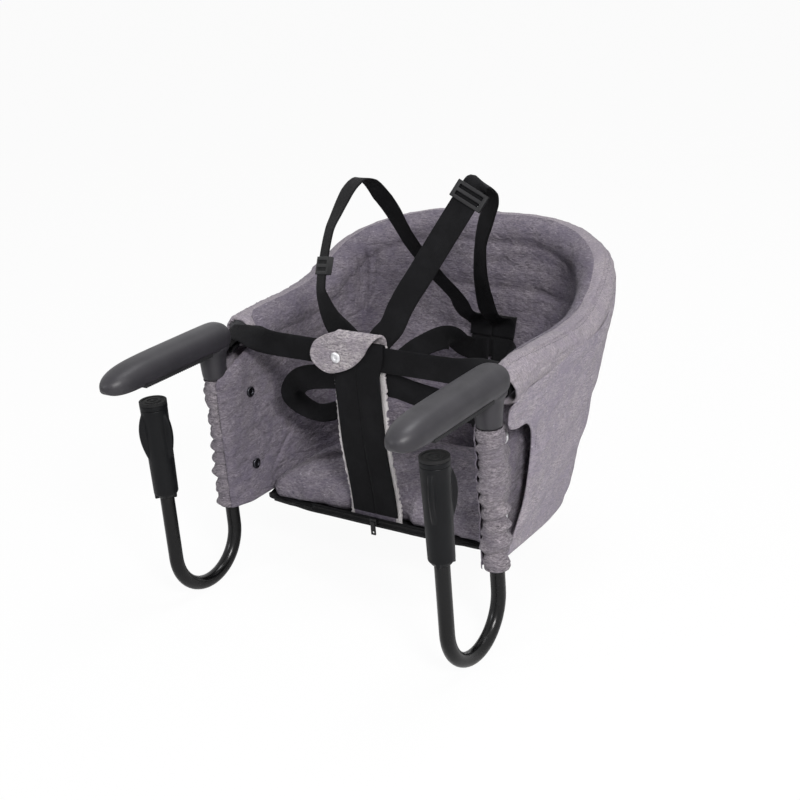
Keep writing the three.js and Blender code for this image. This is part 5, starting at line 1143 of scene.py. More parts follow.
def tail_shift(t):
    """How far inward the tail lies, so that it follows the lining's face."""
    at = np.array((SLEEVE_TAIL - SNAP_SETBACK - RAIL_START) / RAIL.length)
    top = LINER.place(at, 0.0)[2]
    height = SLEEVE_TOP - SLEEVE_LENGTH * t
    level = np.clip((top - height) / (top + LINER.bottom), 0, 1)
    face = LINER.off(at, level, -LINER_THICKNESS / 2)
    return HALF_SPACING - face[0] - SLEEVE_TAIL_THICKNESS / 2 - SNAP_EASE


def sleeve_ring(t):
    """A sleeve's section at a share of its drop: round the tube, with a flat tail behind it."""
    half = SLEEVE_TAIL_THICKNESS / 2
    shift = -tail_shift(t)
    near, far = shift + half, shift - half
    roots = [SLEEVE_RADIUS * share for share in TAIL_ROOT_SHARES]
    full = blend(near, roots[0], 0.5)
    across = [roots[0], full, near, shift, far, far, roots[1]]
    ring = []
    for i in range(SLEEVE_POINTS):
        turn = 2 * math.pi * i / SLEEVE_POINTS
        place = np.array([SLEEVE_RADIUS * math.cos(turn), SLEEVE_RADIUS * math.sin(turn)])
        if 0 < i < SLEEVE_POINTS / 2:
            tail = np.array([across[i - 1], TAIL_SECTION_SHARES[i - 1] * tail_length(t)])
            place = blend(place, tail, tail_fullness(t))
        ring.append(place)
    fine = closed_samples(np.array(ring), SLEEVE_COLUMNS)
    way = np.roll(fine, -1, axis=0) - np.roll(fine, 1, axis=0)
    out = unit(spots(way[:, 1], -way[:, 0]))
    return fine, out


def tube_sleeve(label):
    """The gathered cloth sleeve round a hook tube, with its tail snapped to the lining."""
    side = SIDES[label]
    seed = 40 + side
    round_way = np.arange(SLEEVE_COLUMNS) / SLEEVE_COLUMNS
    outer, inner = [], []
    for t in np.linspace(0, 1, SLEEVE_ROWS):
        ring, out = sleeve_ring(t)
        tail_share = smooth(ring[:, 1] / SLEEVE_TAIL)
        drop = SLEEVE_LENGTH * t
        places = spots(drop + 5 * MM * np.sin(2 * math.pi * round_way + 3 * t), 0.09 * np.abs(round_way - 0.5))
        pucker = ripple(places, (8 * MM, 20 * MM), seed)
        fine = ripple(places, (4 * MM, 13 * MM), seed + 5)
        beat = SLEEVE_BEATS * t + 0.22 * np.sin(2 * math.pi * round_way + side) + 0.12 * math.sin(11 * t)
        gathers = np.abs(np.sin(math.pi * beat)) ** 0.6 - 0.6
        relief = (gathers * SLEEVE_GATHER + pucker * SLEEVE_PUCKER + fine * SLEEVE_FINE) * blend(1, 0.6, tail_share)
        relief = np.maximum(relief, SLEEVE_DEEPEST) * MM
        beneath = smooth((-9 * MM - ring[:, 0]) / (4 * MM)) * (ring[:, 1] < 22 * MM)
        relief = relief * (1 - 0.85 * beneath) - SLEEVE_DRAWN_IN * beneath
        edge = smooth(min(t, 1 - t) / 0.03)
        ring = ring + out * (relief * edge - SLEEVE_DRAWN_IN * (1 - edge))[:, None]
        ring[:, 1] += TAIL_SWAY * tail_share * np.sin(2 * math.pi * (7.5 * t + 0.2 * math.sin(9 * t)))
        for found, skin in ((outer, ring), (inner, ring - out * SLEEVE_WALL)):
            found.append(spots(side * skin[:, 0] + side * HALF_SPACING, skin[:, 1], SLEEVE_TOP - drop))
    rings = np.array([*outer, *inner[::-3]])
    obj = loft(f"{label}_gathered_sleeve", rings, closed=True)
    dress(obj, SLEEVE_CLOTH, f"{label}_tube_sleeve")


# Snaps

SNAP_CROWN = 1.12 * SNAP_RADIUS


def snap_part(name, node, profile, axis, side, finish):
    """A turned part of a press stud, on its node's axis and facing to a side."""
    low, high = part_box(node)
    index = "XYZ".index(axis)
    place = [(low[k] + high[k]) / 2 for k in range(3)]
    place[index] = 0
    base = low[index] if side > 0 else high[index]
    profile = eased(profile, 0.8 * MM, steps=4)
    obj = turned(name, spots(profile[:, 0], base + side * profile[:, 1]), place, axis, steps=48)
    dress(obj, finish, node, sharp=40)


def snap_cap(node, axis, side, foot):
    """The domed silver cap and its post, which starts at a height above the node's foot."""
    low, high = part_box(node)
    length = high["XYZ".index(axis)] - low["XYZ".index(axis)]
    profile = [
        (0, foot), (SNAP_POST_RADIUS, foot), (SNAP_POST_RADIUS, length - SNAP_HEIGHT),
        (SNAP_CROWN, length - SNAP_HEIGHT), (SNAP_CROWN, length - 0.55 * SNAP_HEIGHT),
        (0.78 * SNAP_CROWN, length - 0.1 * SNAP_HEIGHT), (0.42 * SNAP_CROWN, length),
        (0.3 * SNAP_CROWN, length - 0.35 * SNAP_HEIGHT), (0, length - 0.35 * SNAP_HEIGHT)]
    snap_part(f"{node}_cap", node, profile, axis, side, SILVER)


def snap_stud(node, axis, side):
    """The dark ring stud on the inner side."""
    profile = [
        (0, 0.2 * SNAP_HEIGHT), (0.35 * SNAP_CROWN, 0.2 * SNAP_HEIGHT), (0.45 * SNAP_CROWN, -0.45 * SNAP_HEIGHT),
        (0.75 * SNAP_CROWN, -0.45 * SNAP_HEIGHT), (SNAP_CROWN, 0.1 * SNAP_HEIGHT), (SNAP_CROWN, SNAP_HEIGHT),
        (0, SNAP_HEIGHT)]
    snap_part(f"{node}_stud", node, profile, axis, side, GUNMETAL)


# Flap, panel and base

FLAP_SHARES = np.array([
    (0.00, 0.00, -0.34, 0.34), (0.02, -0.12, -0.33, 0.34), (0.17, -0.24, -0.31, 0.33), (0.47, -0.31, -0.30, 0.32),
    (0.77, -0.29, -0.32, 0.30), (0.94, -0.17, -0.47, 0.24), (0.99, 0.05, -0.62, 0.16), (1.00, 0.30, -0.69, 0.09),
    (1.00, 0.50, -0.71, 0.01), (0.99, 0.68, -0.69, -0.08), (0.97, 0.85, -0.62, -0.21), (0.96, 0.96, -0.54, -0.34),
    (0.95, 1.00, -0.47, -0.42),
])
WEBBING_BACK = BELT_Y + WEBBING_THICKNESS + RUNNING_GAP
PANEL_Y = WEBBING_BACK + WEBBING_THICKNESS / 2 + TOUCH_GAP + CROTCH_PANEL_THICKNESS / 2
LOOP_TOP = BELT_Z + WEBBING_WIDTH / 2 + WEBBING_THICKNESS
BINDING_REACHES = {"left": 3.8 * MM, "right": 6.2 * MM}
BINDING_SWELL = 0.7 * MM
BINDING_FRAY = 1.1 * MM
PANEL_TUCK = 7 * MM
PANEL_RISE = 12 * MM
FLAP_HEM = 0.35 * MM
SNAP_CLEAR = 11 * MM
BINDING_OVERHANG = 0.6 * MM
FLAP_BACK = PANEL_Y + TOUCH_GAP
FLAP_START = Vector((0, FLAP_BACK - 0.70 * FLAP_REACH, LOOP_TOP))
FLAP_END = Vector((0, FLAP_BACK - 0.90 * FLAP_REACH, LOOP_TOP))


def crotch_flap():
    """The cloth flap that folds over the belt and snaps to the panel."""
    table = curve_samples(FLAP_SHARES, 9)
    columns = 56
    across = np.linspace(0, 1, columns)
    forward, drop, left, right = (table[:, k, None] for k in range(4))
    x = blend(left, right, across) * FLAP_WIDTH
    y = FLAP_BACK - FLAP_REACH * forward + 0 * x
    z = LOOP_TOP + 2 * TOUCH_GAP - FLAP_DROP * drop + 0 * x
    middle = spots(x, y, z)
    ahead = np.gradient(middle[:, columns // 2], axis=0)
    out = unit(spots(0 * ahead[:, 0], ahead[:, 2], -ahead[:, 1]))[:, None]
    run = np.concatenate([[0], np.cumsum(np.linalg.norm(ahead[1:], axis=1))])[:, None] + 0 * x
    flat = spots(x, run)
    width = (right - left) * FLAP_WIDTH
    border = np.minimum(np.minimum(across, 1 - across) * width, run[-1] - run + 0 * x)
    hanging = smooth((run - 0.018) / 0.012)
    wrinkle = crease(flat, (-0.050, 0.046), (-0.008, 0.034), 3.2 * MM)
    wrinkle = 1.6 * (wrinkle - crease(flat, (-0.048, 0.053), (-0.012, 0.042), 3 * MM))
    soft = ripple(flat, (22 * MM, 15 * MM), 51)
    relief = hanging * (0.8 * wrinkle + 0.5 * soft) * MM * smooth(border / (8 * MM) + 0.3)
    relief = relief + FLAP_HEM * bell(border, 1.5 * MM, 1.5 * MM) - FLAP_HEM * bell(border, 4.2 * MM, 0.8 * MM)
    low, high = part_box("flap_snap")
    beside_snap = np.hypot(x - (low.x + high.x) / 2, z - (low.z + high.z) / 2)
    clear = 1 - bell(beside_snap, 0, SNAP_CLEAR)
    relief = relief * clear - 0.5 * MM * bell(beside_snap, 0, 7 * MM)
    curl = 0.8 * MM * bell(border, 0, 4 * MM) * hanging * clear
    half = FLAP_THICKNESS / 2
    front = middle + out * (half + relief + curl)[..., None]
    back = middle + out * (-half + relief * 0.6 + curl)[..., None]
    obj = slab("strap_flap", front, back, weave=flat)
    obj.data.materials.append(FLAP_CLOTH)
    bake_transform(obj)
    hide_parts("flap_root", "crotch_flap")


def panel_bow(z):
    """How far the panel and its webbing lean sideways between the seat and the belt."""
    foot = -BASE_TOP + BASE_ARCH
    return -8 * MM * smooth((z - foot) / (95 * MM)) * smooth((LOOP_TOP - 8 * MM - z) / (34 * MM))


def crotch_panel():
    """The cloth panel from the base up to the belt, bound along both edges."""
    foot = -BASE_TOP + BASE_ARCH + TOUCH_GAP - PANEL_TUCK
    points = np.array([
        (0, PANEL_Y - 2.2 * WEBBING_THICKNESS, foot), (0, PANEL_Y - WEBBING_THICKNESS, foot + PANEL_RISE),
        (0, PANEL_Y - WEBBING_THICKNESS, (foot + BELT_Z) / 2),
        (0, PANEL_Y, BELT_Z - WEBBING_WIDTH), (0, PANEL_Y, LOOP_TOP)])
    line = curve_samples(points, 24)
    across = np.linspace(-0.5, 0.5, 30)
    width = CROTCH_PANEL_WIDTH * np.interp(line[:, 2], [BELT_Z - WEBBING_WIDTH, LOOP_TOP], [1, 0.9])[:, None]
    bow = panel_bow(line[:, 2])[:, None]
    x = across * width
    flat = spots(x, line[:, 2, None])
    soft = ripple(flat, (30 * MM, 26 * MM), 61) * 0.35 * MM
    border = (0.5 - np.abs(across)) * width
    seam = 0.3 * MM * bell(border, 4 * MM, 0.8 * MM)
    half = CROTCH_PANEL_THICKNESS / 2
    place = spots(x + bow, line[:, 1, None], line[:, 2, None])
    toward_back = np.array([0.0, 1.0, 0.0])
    front = place - toward_back * (half + (soft - seam))[..., None]
    back = place + toward_back * (half - seam)[..., None]
    obj = slab("strap_panel", front, back, weave=flat)
    dress(obj, INNER_CLOTH_PAINTED_SHADE, "crotch_panel")
    for label, reach in BINDING_REACHES.items():
        panel_binding(label, reach, line, width[:, 0], bow[:, 0])


def panel_binding(label, reach, line, width, bow):
    """The frayed tape folded over one edge of the crotch panel."""
    side = SIDES[label]
    turns = full_turn(20)
    rows, known = np.linspace(0, len(line) - 1, 260), np.arange(len(line))
    edge = np.interp(rows, known, side * width / 2 + bow) - side * (reach / 2 - BINDING_OVERHANG)
    y, z = (np.interp(rows, known, line[:, k]) for k in (1, 2))
    fray = ripple(spots(z, 0 * z), (2.0 * MM, 1.0), 66 + side) * BINDING_FRAY
    half_width = reach / 2 + BINDING_OVERHANG + fray[:, None] * (side * np.cos(turns) > 0)
    half_depth = CROTCH_PANEL_THICKNESS / 2 + BINDING_SWELL + 0.2 * MM * np.sin(z[:, None] * 2600)
    rings = spots(edge[:, None] + half_width * swung(np.cos(turns), 0.5),
                  y[:, None] + half_depth * swung(np.sin(turns), 0.7), z[:, None])
    obj = loft(f"panel_binding_{label}", rings)
    dress(obj, PALE_BINDING, "crotch_panel")


def seat_edge(count):
    """The base's outline in plan, evenly spaced."""
    points = np.column_stack([
        OUTLINE_SHARES[:, 0] * BASE_HALF_WIDTH, blend(BASE_FRONT, BASE_REAR, OUTLINE_SHARES[:, 1])])
    ring = np.vstack([points, [(0, BASE_REAR)], (points[1:] * np.array([-1, 1]))[::-1]])
    return closed_samples(ring, count, 24)


SEAT_EDGE = seat_edge(220)
BASE_LIP = 5.5 * MM
BASE_END_RISE = 6.5 * MM
BASE_ROUNDING = 0.9 * MM
BASE_RIM_WIDTH = 60 * MM


def seat_ring(inset, height):
    """The base's outline drawn in by an inset, at a height."""
    middle, half_depth = (BASE_FRONT + BASE_REAR) / 2, (BASE_REAR - BASE_FRONT) / 2
    x = SEAT_EDGE[:, 0] * (BASE_HALF_WIDTH - inset) / BASE_HALF_WIDTH
    y = middle + (SEAT_EDGE[:, 1] - middle) * (half_depth - inset) / half_depth
    return spots(x, y, height + 0 * x)


def base_cover():
    """The cloth over the base board, with a lip that rises towards the front corners."""
    bottom = -BASE_TOP - BASE_DEPTH
    near_front = 1 - smooth((SEAT_EDGE[:, 1] - BASE_FRONT) / (36 * MM))
    lip = -BASE_TOP - BASE_LIP * near_front
    rise_ends = BASE_END_RISE * near_front * smooth(np.abs(SEAT_EDGE[:, 0]) / BASE_HALF_WIDTH * 2.2 - 1.2)
    fold = 0.35 * MM * ripple(SEAT_EDGE, (24 * MM, 24 * MM), 71)
    profile = eased([
        (BASE_RIM_WIDTH, 0), (2 * BASE_WALL, 0), (BASE_WALL / 3, BASE_WALL), (0, 2 * BASE_WALL), (0, 1.0),
        (BASE_WALL, 1.0), (BASE_WALL, BASE_WALL), (BASE_RIM_WIDTH, BASE_WALL)], BASE_ROUNDING)
    rings = []
    for inset, rise in profile:
        share = np.clip((rise - 2 * BASE_WALL) / (1.0 - 2 * BASE_WALL), 0, 1)
        low = bottom + min(rise, 2 * BASE_WALL) + rise_ends * (inset < 20 * MM)
        height = low + share * (lip - low)
        rings.append(seat_ring(inset + fold * (inset < 20 * MM), height))
    obj = loft("base_wrap", np.array(rings))
    dress(obj, BLACK_CLOTH, "base_cover")


# Cushion

CUSHION_INSET = 6.5 * MM
CUSHION_BULGE = 2.5 * MM
CUSHION_SEAM_SHARE = 0.80
CUSHION_LOW = np.array([-159.6 * MM, 39.2 * MM, CUSHION_BOTTOM + 0.2 * MM])
CUSHION_HIGH = np.array([159.6 * MM, 231.5 * MM, np.inf])
CUSHION_CENTRE = 137 * MM
CUSHION_HALF_DEPTH = 99 * MM
SWELL_PRESSURE = 4
SWELL_CAP = 4 * MM
SWELL_FRAMES = 20


def puffed(obj):
    """Swells a soft body by cloth simulation, no point moving further than the cap."""
    before = np.array([v.co for v in obj.data.vertices])
    modifier = obj.modifiers.new("Swell", "CLOTH")
    modifier.settings.use_pressure = True
    modifier.settings.uniform_pressure_force = SWELL_PRESSURE
    modifier.settings.effector_weights.gravity = 0
    modifier.settings.quality = 6
    modifier.point_cache.frame_start = 1
    modifier.point_cache.frame_end = SWELL_FRAMES
    for number in range(1, SWELL_FRAMES + 1):
        SCENE.frame_set(number)
        bpy.context.view_layer.update()
    settle(obj)
    SCENE.frame_set(1)
    after = np.array([v.co for v in obj.data.vertices])
    move = after - before
    far = np.linalg.norm(move, axis=1, keepdims=True)
    after = before + move * np.minimum(1, SWELL_CAP / np.maximum(far, 1e-9))
    obj.data.vertices.foreach_set("co", after.ravel())
    obj.data.update()


def seat_cushion():
    """The seat pad, wrinkled above and pulled in where its front seam runs."""
    top = CUSHION_BOTTOM + CUSHION_THICKNESS
    inset, bulge = CUSHION_INSET, CUSHION_BULGE
    profile = [
        (inset + 60 * MM, CUSHION_BOTTOM), (inset + bulge, CUSHION_BOTTOM),
        (inset + 0.3 * bulge, blend(CUSHION_BOTTOM, top, 1 / 6)), (inset, blend(CUSHION_BOTTOM, top, 0.5)),
        (inset + 0.4 * bulge, blend(CUSHION_BOTTOM, top, 0.82)), (inset + 2 * bulge, top + 0.1 * CUSHION_CROWN),
        (inset + 5 * bulge, top + 0.4 * CUSHION_CROWN), (inset + 14 * bulge, top + 0.8 * CUSHION_CROWN),
        (inset + 26 * bulge, top + 0.9 * CUSHION_CROWN)]
    obj = loft("seat_pad", np.array([seat_ring(out, height) for out, height in profile]))
    modify(obj, "REMESH", mode="VOXEL", voxel_size=5 * MM)
    settle(obj)
    puffed(obj)
    modify(obj, "SUBSURF", levels=1)
    settle(obj)
    places = np.array([v.co for v in obj.data.vertices])
    normals = np.array([v.normal for v in obj.data.vertices])
    upper = smooth((places[:, 2] - CUSHION_BOTTOM) / (6 * MM))
    edge = np.hypot(places[:, 0] / BASE_HALF_WIDTH, (places[:, 1] - CUSHION_CENTRE) / CUSHION_HALF_DEPTH)
    wrinkle = (ripple(places[:, :2], (34 * MM, 20 * MM), 81) * 1.1
               + ripple(places, (13 * MM, 13 * MM, 9 * MM), 82) * 0.6)
    face = 1 - smooth((places[:, 1] - 52 * MM) / (14 * MM))
    pulled = face * ripple(spots(places[:, 0], places[:, 2] * 0.4), (8 * MM, 9 * MM), 83) * 0.8
    seam = bell(places[:, 2], blend(CUSHION_BOTTOM, top, CUSHION_SEAM_SHARE), 1.3 * MM) * (edge > 0.8)
    places = places + normals * ((wrinkle * upper + pulled - 1.1 * seam) * MM)[:, None]
    near_front = smooth((66 * MM - places[:, 1]) / (20 * MM))
    beside_panel = smooth((np.abs(places[:, 0]) - 34 * MM) / (16 * MM))
    places[:, 1] -= near_front * blend(-2.5 * MM, 5.5 * MM, beside_panel)
    places = np.clip(places, CUSHION_LOW, CUSHION_HIGH)
    obj.data.vertices.foreach_set("co", places.ravel())
    obj.data.shade_smooth()
    obj.data.update()
    dress(obj, CUSHION_CLOTH_PAINTED_SHADE, "seat_cushion")


# Straps, recovered from their CAD solids station by station

STRAP_STEP = 3 * MM
STRAP_COLUMNS = 11


def stations_of(node):
    """Middle, half width and face direction at each station of a ribbon's solid."""
    shape = bmesh.new()
    shape.from_mesh(NODES[node].data)
    bmesh.ops.remove_doubles(shape, verts=shape.verts, dist=1e-5)
    shape.verts.ensure_lookup_table()
    beside = {v.index: {e.other_vert(v).index for e in v.link_edges} for v in shape.verts}
    places = np.array([v.co for v in shape.verts])
    layers = None
    for edge in shape.edges:
        if len(edge.link_faces) != 2:
            continue
        cap = {v.index for face in edge.link_faces for v in face.verts}
        if len(cap) != 4:
            continue
        found, seen = [cap], set(cap)
        while len(seen) < len(places):
            ring = {n for v in found[-1] for n in beside[v]} - seen
            if len(ring) != 4:
                break
            found.append(ring)
            seen |= ring
        if len(seen) == len(places):
            layers = found
            break
    shape.free()
    if layers is None:
        raise RuntimeError(f"{node}: no stations found")
    rows = []
    for ring in layers:
        corners = places[sorted(ring)]
        near = np.linalg.norm(corners[0] - corners[1:], axis=1).argmin() + 1
        first = corners[[0, near]]
        second = corners[[k for k in range(1, 4) if k != near]]
        if rows:
            before = rows[-1]
            ends = [before[0] + before[1], before[0] - before[1]]
            straight = np.linalg.norm(first.mean(0) - ends[0]) + np.linalg.norm(second.mean(0) - ends[1])
            crossed = np.linalg.norm(first.mean(0) - ends[1]) + np.linalg.norm(second.mean(0) - ends[0])
            if crossed < straight:
                first, second = second, first
        half = (first.mean(0) - second.mean(0)) / 2
        face = unit(first[0] - first[1])
        if rows and face @ rows[-1][2] < 0:
            face = -face
        rows.append((corners.mean(0), half, face))
    return [np.array(column) for column in zip(*rows)]


def strap(name, node, sway=None):
    """A woven strap along its solid's stations, swayed sideways by a function of the height."""
    middle, half, face = stations_of(node)
    line = Line(middle)
    marks = np.array([line.run[60 * k] for k in range(len(middle))]) / line.length
    shares = np.unique(np.concatenate([np.linspace(0, 1, int(line.length / STRAP_STEP)), marks]))
    shares = shares[np.concatenate([[True], np.diff(shares) > 2e-4])]
    places = line.at(shares)
    along = line.way(shares)
    halves = read_off(shares, marks, half)
    width = np.interp(shares, marks, np.linalg.norm(half, axis=1))
    across = unit(halves - along * (halves * along).sum(1, keepdims=True))
    out = unit(np.cross(across, along))
    flip = np.sign((out * read_off(shares, marks, face)).sum(1, keepdims=True))
    out = out * np.where(flip == 0, 1, flip)
    spread = np.linspace(-1, 1, STRAP_COLUMNS)
    run = shares * line.length
    flat = spots(run[:, None], spread * width[:, None])
    grid = places[:, None] + across[:, None] * (spread * width[:, None])[..., None]
    ends = np.minimum(run, run[-1] - run)[:, None]
    wave = ripple(flat, (60 * MM, 40 * MM), len(node)) * 0.35 * MM * smooth(ends / (20 * MM))
    edge = bell(np.abs(spread), 0.86, 0.08) * 0.12 * MM
    lift = out[:, None] * (wave + 0 * spread)[..., None]
    thick = WEBBING_THICKNESS / 2 - 0.18 * MM * bell(np.abs(spread), 1.0, 0.1) + edge
    if sway is not None:
        lift = lift + np.array([1.0, 0.0, 0.0]) * sway(grid[..., 2])[..., None]
    front = grid + lift + out[:, None] * (thick + 0 * wave)[..., None]
    back = grid + lift - out[:, None] * (thick + 0 * wave)[..., None]
    obj = slab(name, front, back, weave=flat)
    dress(obj, STRAP_WEBBING, node)


YOKE_SHARE = 0.472
YOKE_LEVEL = 0.43
YOKE_STITCH_INSET = 4.5 * MM
YOKE_STITCH_DEPTH = 0.5 * MM
YOKE_CROSS_DEPTH = 0.4 * MM


def yoke():
    """The padded patch on the lining that holds the back straps."""
    half_along = YOKE_WIDTH / 2 / RAIL.length
    half_level = YOKE_HEIGHT / 2 / (BASE_TOP + RAIL_RISE)
    rows, columns = 30, 36
    spread = np.linspace(-1, 1, columns)
    down = np.linspace(-1, 1, rows)[:, None]
    at = YOKE_SHARE + half_along * spread + 0 * down
    level = YOKE_LEVEL + half_level * down + 0 * spread
    inset = np.minimum((1 - np.abs(spread)) * YOKE_WIDTH / 2, (1 - np.abs(down)) * YOKE_HEIGHT / 2)
    flat = spots(spread * YOKE_WIDTH / 2 + 0 * down, down * YOKE_HEIGHT / 2 + 0 * spread)
    base = LINER_THICKNESS / 2 + GATHER_DEPTH / 2 + TOUCH_GAP
    groove = YOKE_STITCH_DEPTH * bell(inset, YOKE_STITCH_INSET, 0.9 * MM)
    cross = np.minimum(np.abs(flat[..., 0] - flat[..., 1]), np.abs(flat[..., 0] + flat[..., 1]))
    groove = groove + YOKE_CROSS_DEPTH * bell(cross, 0, 0.8 * MM) * (inset > 5 * MM)
    front = LINER.off(at, level, base + YOKE_THICKNESS - groove)
    back = LINER.off(at, level, base + 0 * at)
    obj = slab("strap_yoke", front, back, weave=flat)
    dress(obj, BLACK_CLOTH, "harness_yoke")


# Arms

ARM_SHARES = np.array([
    (0.000, 0.62, 0.76, 0.40), (0.010, 0.80, 0.88, 0.22), (0.035, 0.94, 0.97, 0.06), (0.080, 1.00, 1.00, 0.00),
    (0.350, 1.01, 1.00, 0.00), (0.650, 1.02, 0.98, 0.00), (0.780, 1.00, 0.94, 0.00), (0.860, 0.95, 0.87, 0.00),
    (0.920, 0.82, 0.77, 0.02), (0.965, 0.60, 0.64, 0.07), (0.990, 0.34, 0.51, 0.16), (1.000, 0.12, 0.41, 0.27),
])
ARM_TIP = (1.0, 0.04, 0.36, 0.32)
ARM_GROOVE_FLOOR = -12 * MM
BOSS_COLLAR = 2.5 * MM
SOCKET_CUT_PAST = 10 * MM
ARM_CHEEK_SHARE = 0.34
ARM_DOME_POWER = 0.82
ARM_SOLE_POWER = 0.42


def arm_ring(along, width, top, bottom):
    """The arm's section at a share of its length, domed above and flatter below."""
    turns = full_turn(72)
    upper = np.sin(turns) >= 0
    crown, sole = top * ARM_HEIGHT, bottom * ARM_HEIGHT
    cheek = blend(sole, crown, ARM_CHEEK_SHARE)
    power = np.where(upper, ARM_DOME_POWER, ARM_SOLE_POWER)
    side = swung(np.cos(turns), power)
    rise = np.abs(np.sin(turns)) ** ARM_DOME_POWER
    height = np.where(upper, cheek + (crown - cheek) * rise, cheek - (cheek - sole) * rise)
    return spots(width * ARM_WIDTH / 2 * side, blend(ARM_BACK, -ARM_REACH, along) + 0 * turns, height)


def rail_hole(x):
    """A rod along the rail's front end, to cut its hole."""
    place, way = RAIL.at(0.0), RAIL.way(0.0)
    tool = rod(TUBE_RADIUS + TOUCH_GAP, -ARM_BACK, ARM_BACK)
    turn = Vector((0, 0, 1)).rotation_difference(Vector(way)).to_matrix().to_4x4()
    tool.data.transform(Matrix.Translation(Vector((x, place[1], place[2]))) @ turn)
    return tool


def arm_cover(label):
    """The soft skin of an arm with its boss, hollowed for the core, the socket, the screw head and the grip."""
    x = SIDES[label] * HALF_SPACING
    rows = [*curve_samples(ARM_SHARES, 8), ARM_TIP]
    obj = loft(f"{label}_arm_skin", np.array([arm_ring(*row) for row in rows]) + np.array([x, 0, 0]))
    levels = curve_samples(np.array([
        (BOSS_TOP, BOSS_FLARE, BOSS_FLARE), (0, BOSS_FLARE / 2, BOSS_FLARE), (-BOSS_DROP / 2, 0, BOSS_FLARE / 3),
        (BOSS_FLARE - BOSS_DROP, 0, 0), (-BOSS_DROP, 0, -BOSS_FLARE / 3)]), 8)
    turns = full_turn(72)
    boss_rings = []
    for z, shift, grow in levels:
        flare = BOSS_COLLAR * bell(z, 2 * MM, 4 * MM)
        radius = BOSS_RADIUS + grow + flare
        boss_rings.append(np.column_stack([
            x + radius * np.cos(turns), shift + radius * np.sin(turns), z + 0 * turns]))
    boss = loft("boss", np.array(boss_rings))
    combined(obj, "UNION", boss)
    combined(
        obj, "DIFFERENCE",
        block((x - CORE_WIDTH / 2 - TOUCH_GAP, -CORE_REACH - TOUCH_GAP, GRIP_THICKNESS),
              (x + CORE_WIDTH / 2 + TOUCH_GAP, 0, CORE_TOP + TOUCH_GAP)),
        rod(SOCKET_RADIUS + TOUCH_GAP, -BOSS_DROP - SOCKET_CUT_PAST, SOCKET_TOP + TOUCH_GAP, (x, 0, 0)),
        rod(HEAD_RADIUS + RUNNING_GAP, 0, SOCKET_TOP + HEAD_HEIGHT + 2 * RUNNING_GAP, (x, 0, 0)),
        block((x - ARM_WIDTH, -GRIP_FRONT - TOUCH_GAP, ARM_GROOVE_FLOOR),
              (x + ARM_WIDTH, -GRIP_REAR + TOUCH_GAP, GRIP_THICKNESS + TOUCH_GAP)),
        rail_hole(x))
    dress(obj, SOFT_GRIP, f"{label}_arm_cover", sharp=50)


def arm_grip(label):
    """The toothed rubber strip, its solid made as wide as the photograph shows."""
    obj = welded(f"{label}_arm_grip", f"{label}_toothed_strip")
    low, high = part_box(f"{label}_arm_grip")
    x = SIDES[label] * HALF_SPACING
    wider = 0.97 * ARM_WIDTH / (high.x - low.x)
    obj.data.transform(Matrix.Translation((x * (1 - wider), 0, 0)) @ Matrix.Diagonal((wider, 1, 1, 1)))
    bevelled(obj, 0.25 * MM)
    dress(obj, TOOTHED_RUBBER, f"{label}_arm_grip")


# Hooks, knobs and pads

TUBE_EASE = 0.5 * MM
KNOB_ROWS = 110
KNOB_COLUMNS = 240
KNOB_ROUNDING = 1.2 * MM
KNOB_EDGE = 1.3 * MM
KNOB_FIN_FULLNESS = 0.56
CARRIER_HEAD_STEP = 1.4 * MM
CARRIER_ROUNDING = 0.5 * MM
PAD_ROUNDING = 0.35 * MM


def hook_tube(label):
    """The bent hollow tube, down from its socket and up again to the clamp."""
    x = SIDES[label] * HALF_SPACING
    radius = HOOK_LEG_SPACING / 2
    path = [(x, 0, blend(HOOK_TOP, -HOOK_BEND_CENTRE, s)) for s in np.linspace(0, 1, 9)[:-1]]
    for turn in np.linspace(0, math.pi, 40):
        path.append((x, radius * (math.cos(turn) - 1), -HOOK_BEND_CENTRE - radius * math.sin(turn)))
    path += [(x, -HOOK_LEG_SPACING, blend(-HOOK_BEND_CENTRE, -HOOK_TUBE_END, s)) for s in np.linspace(0, 1, 5)[1:]]
    path = np.array(path)
    way = unit(np.gradient(path, axis=0))
    turns = full_turn(48)

    def ring(k, size, back=0.0):
        side = np.array([1.0, 0, 0])
        up = np.cross(way[k], side)
        return path[k] + way[k] * back + size * (np.cos(turns)[:, None] * side + np.sin(turns)[:, None] * up)

    last = len(path) - 1
    drawn_in = {0: TUBE_EASE, last: -TUBE_EASE}
    rings = [ring(0, TUBE_RADIUS - TUBE_EASE)]
    rings += [ring(k, TUBE_RADIUS, drawn_in.get(k, 0.0)) for k in range(len(path))]
    rings += [ring(last, TUBE_RADIUS - TUBE_EASE), ring(last, TUBE_BORE_RADIUS)]
    rings += [ring(k, TUBE_BORE_RADIUS) for k in range(last - 1, -1, -1)]
    obj = loft(f"{label}_bent_tube", np.array(rings), closed=True)
    dress(obj, TUBE_PAINT, f"{label}_hook_tube", sharp=50)


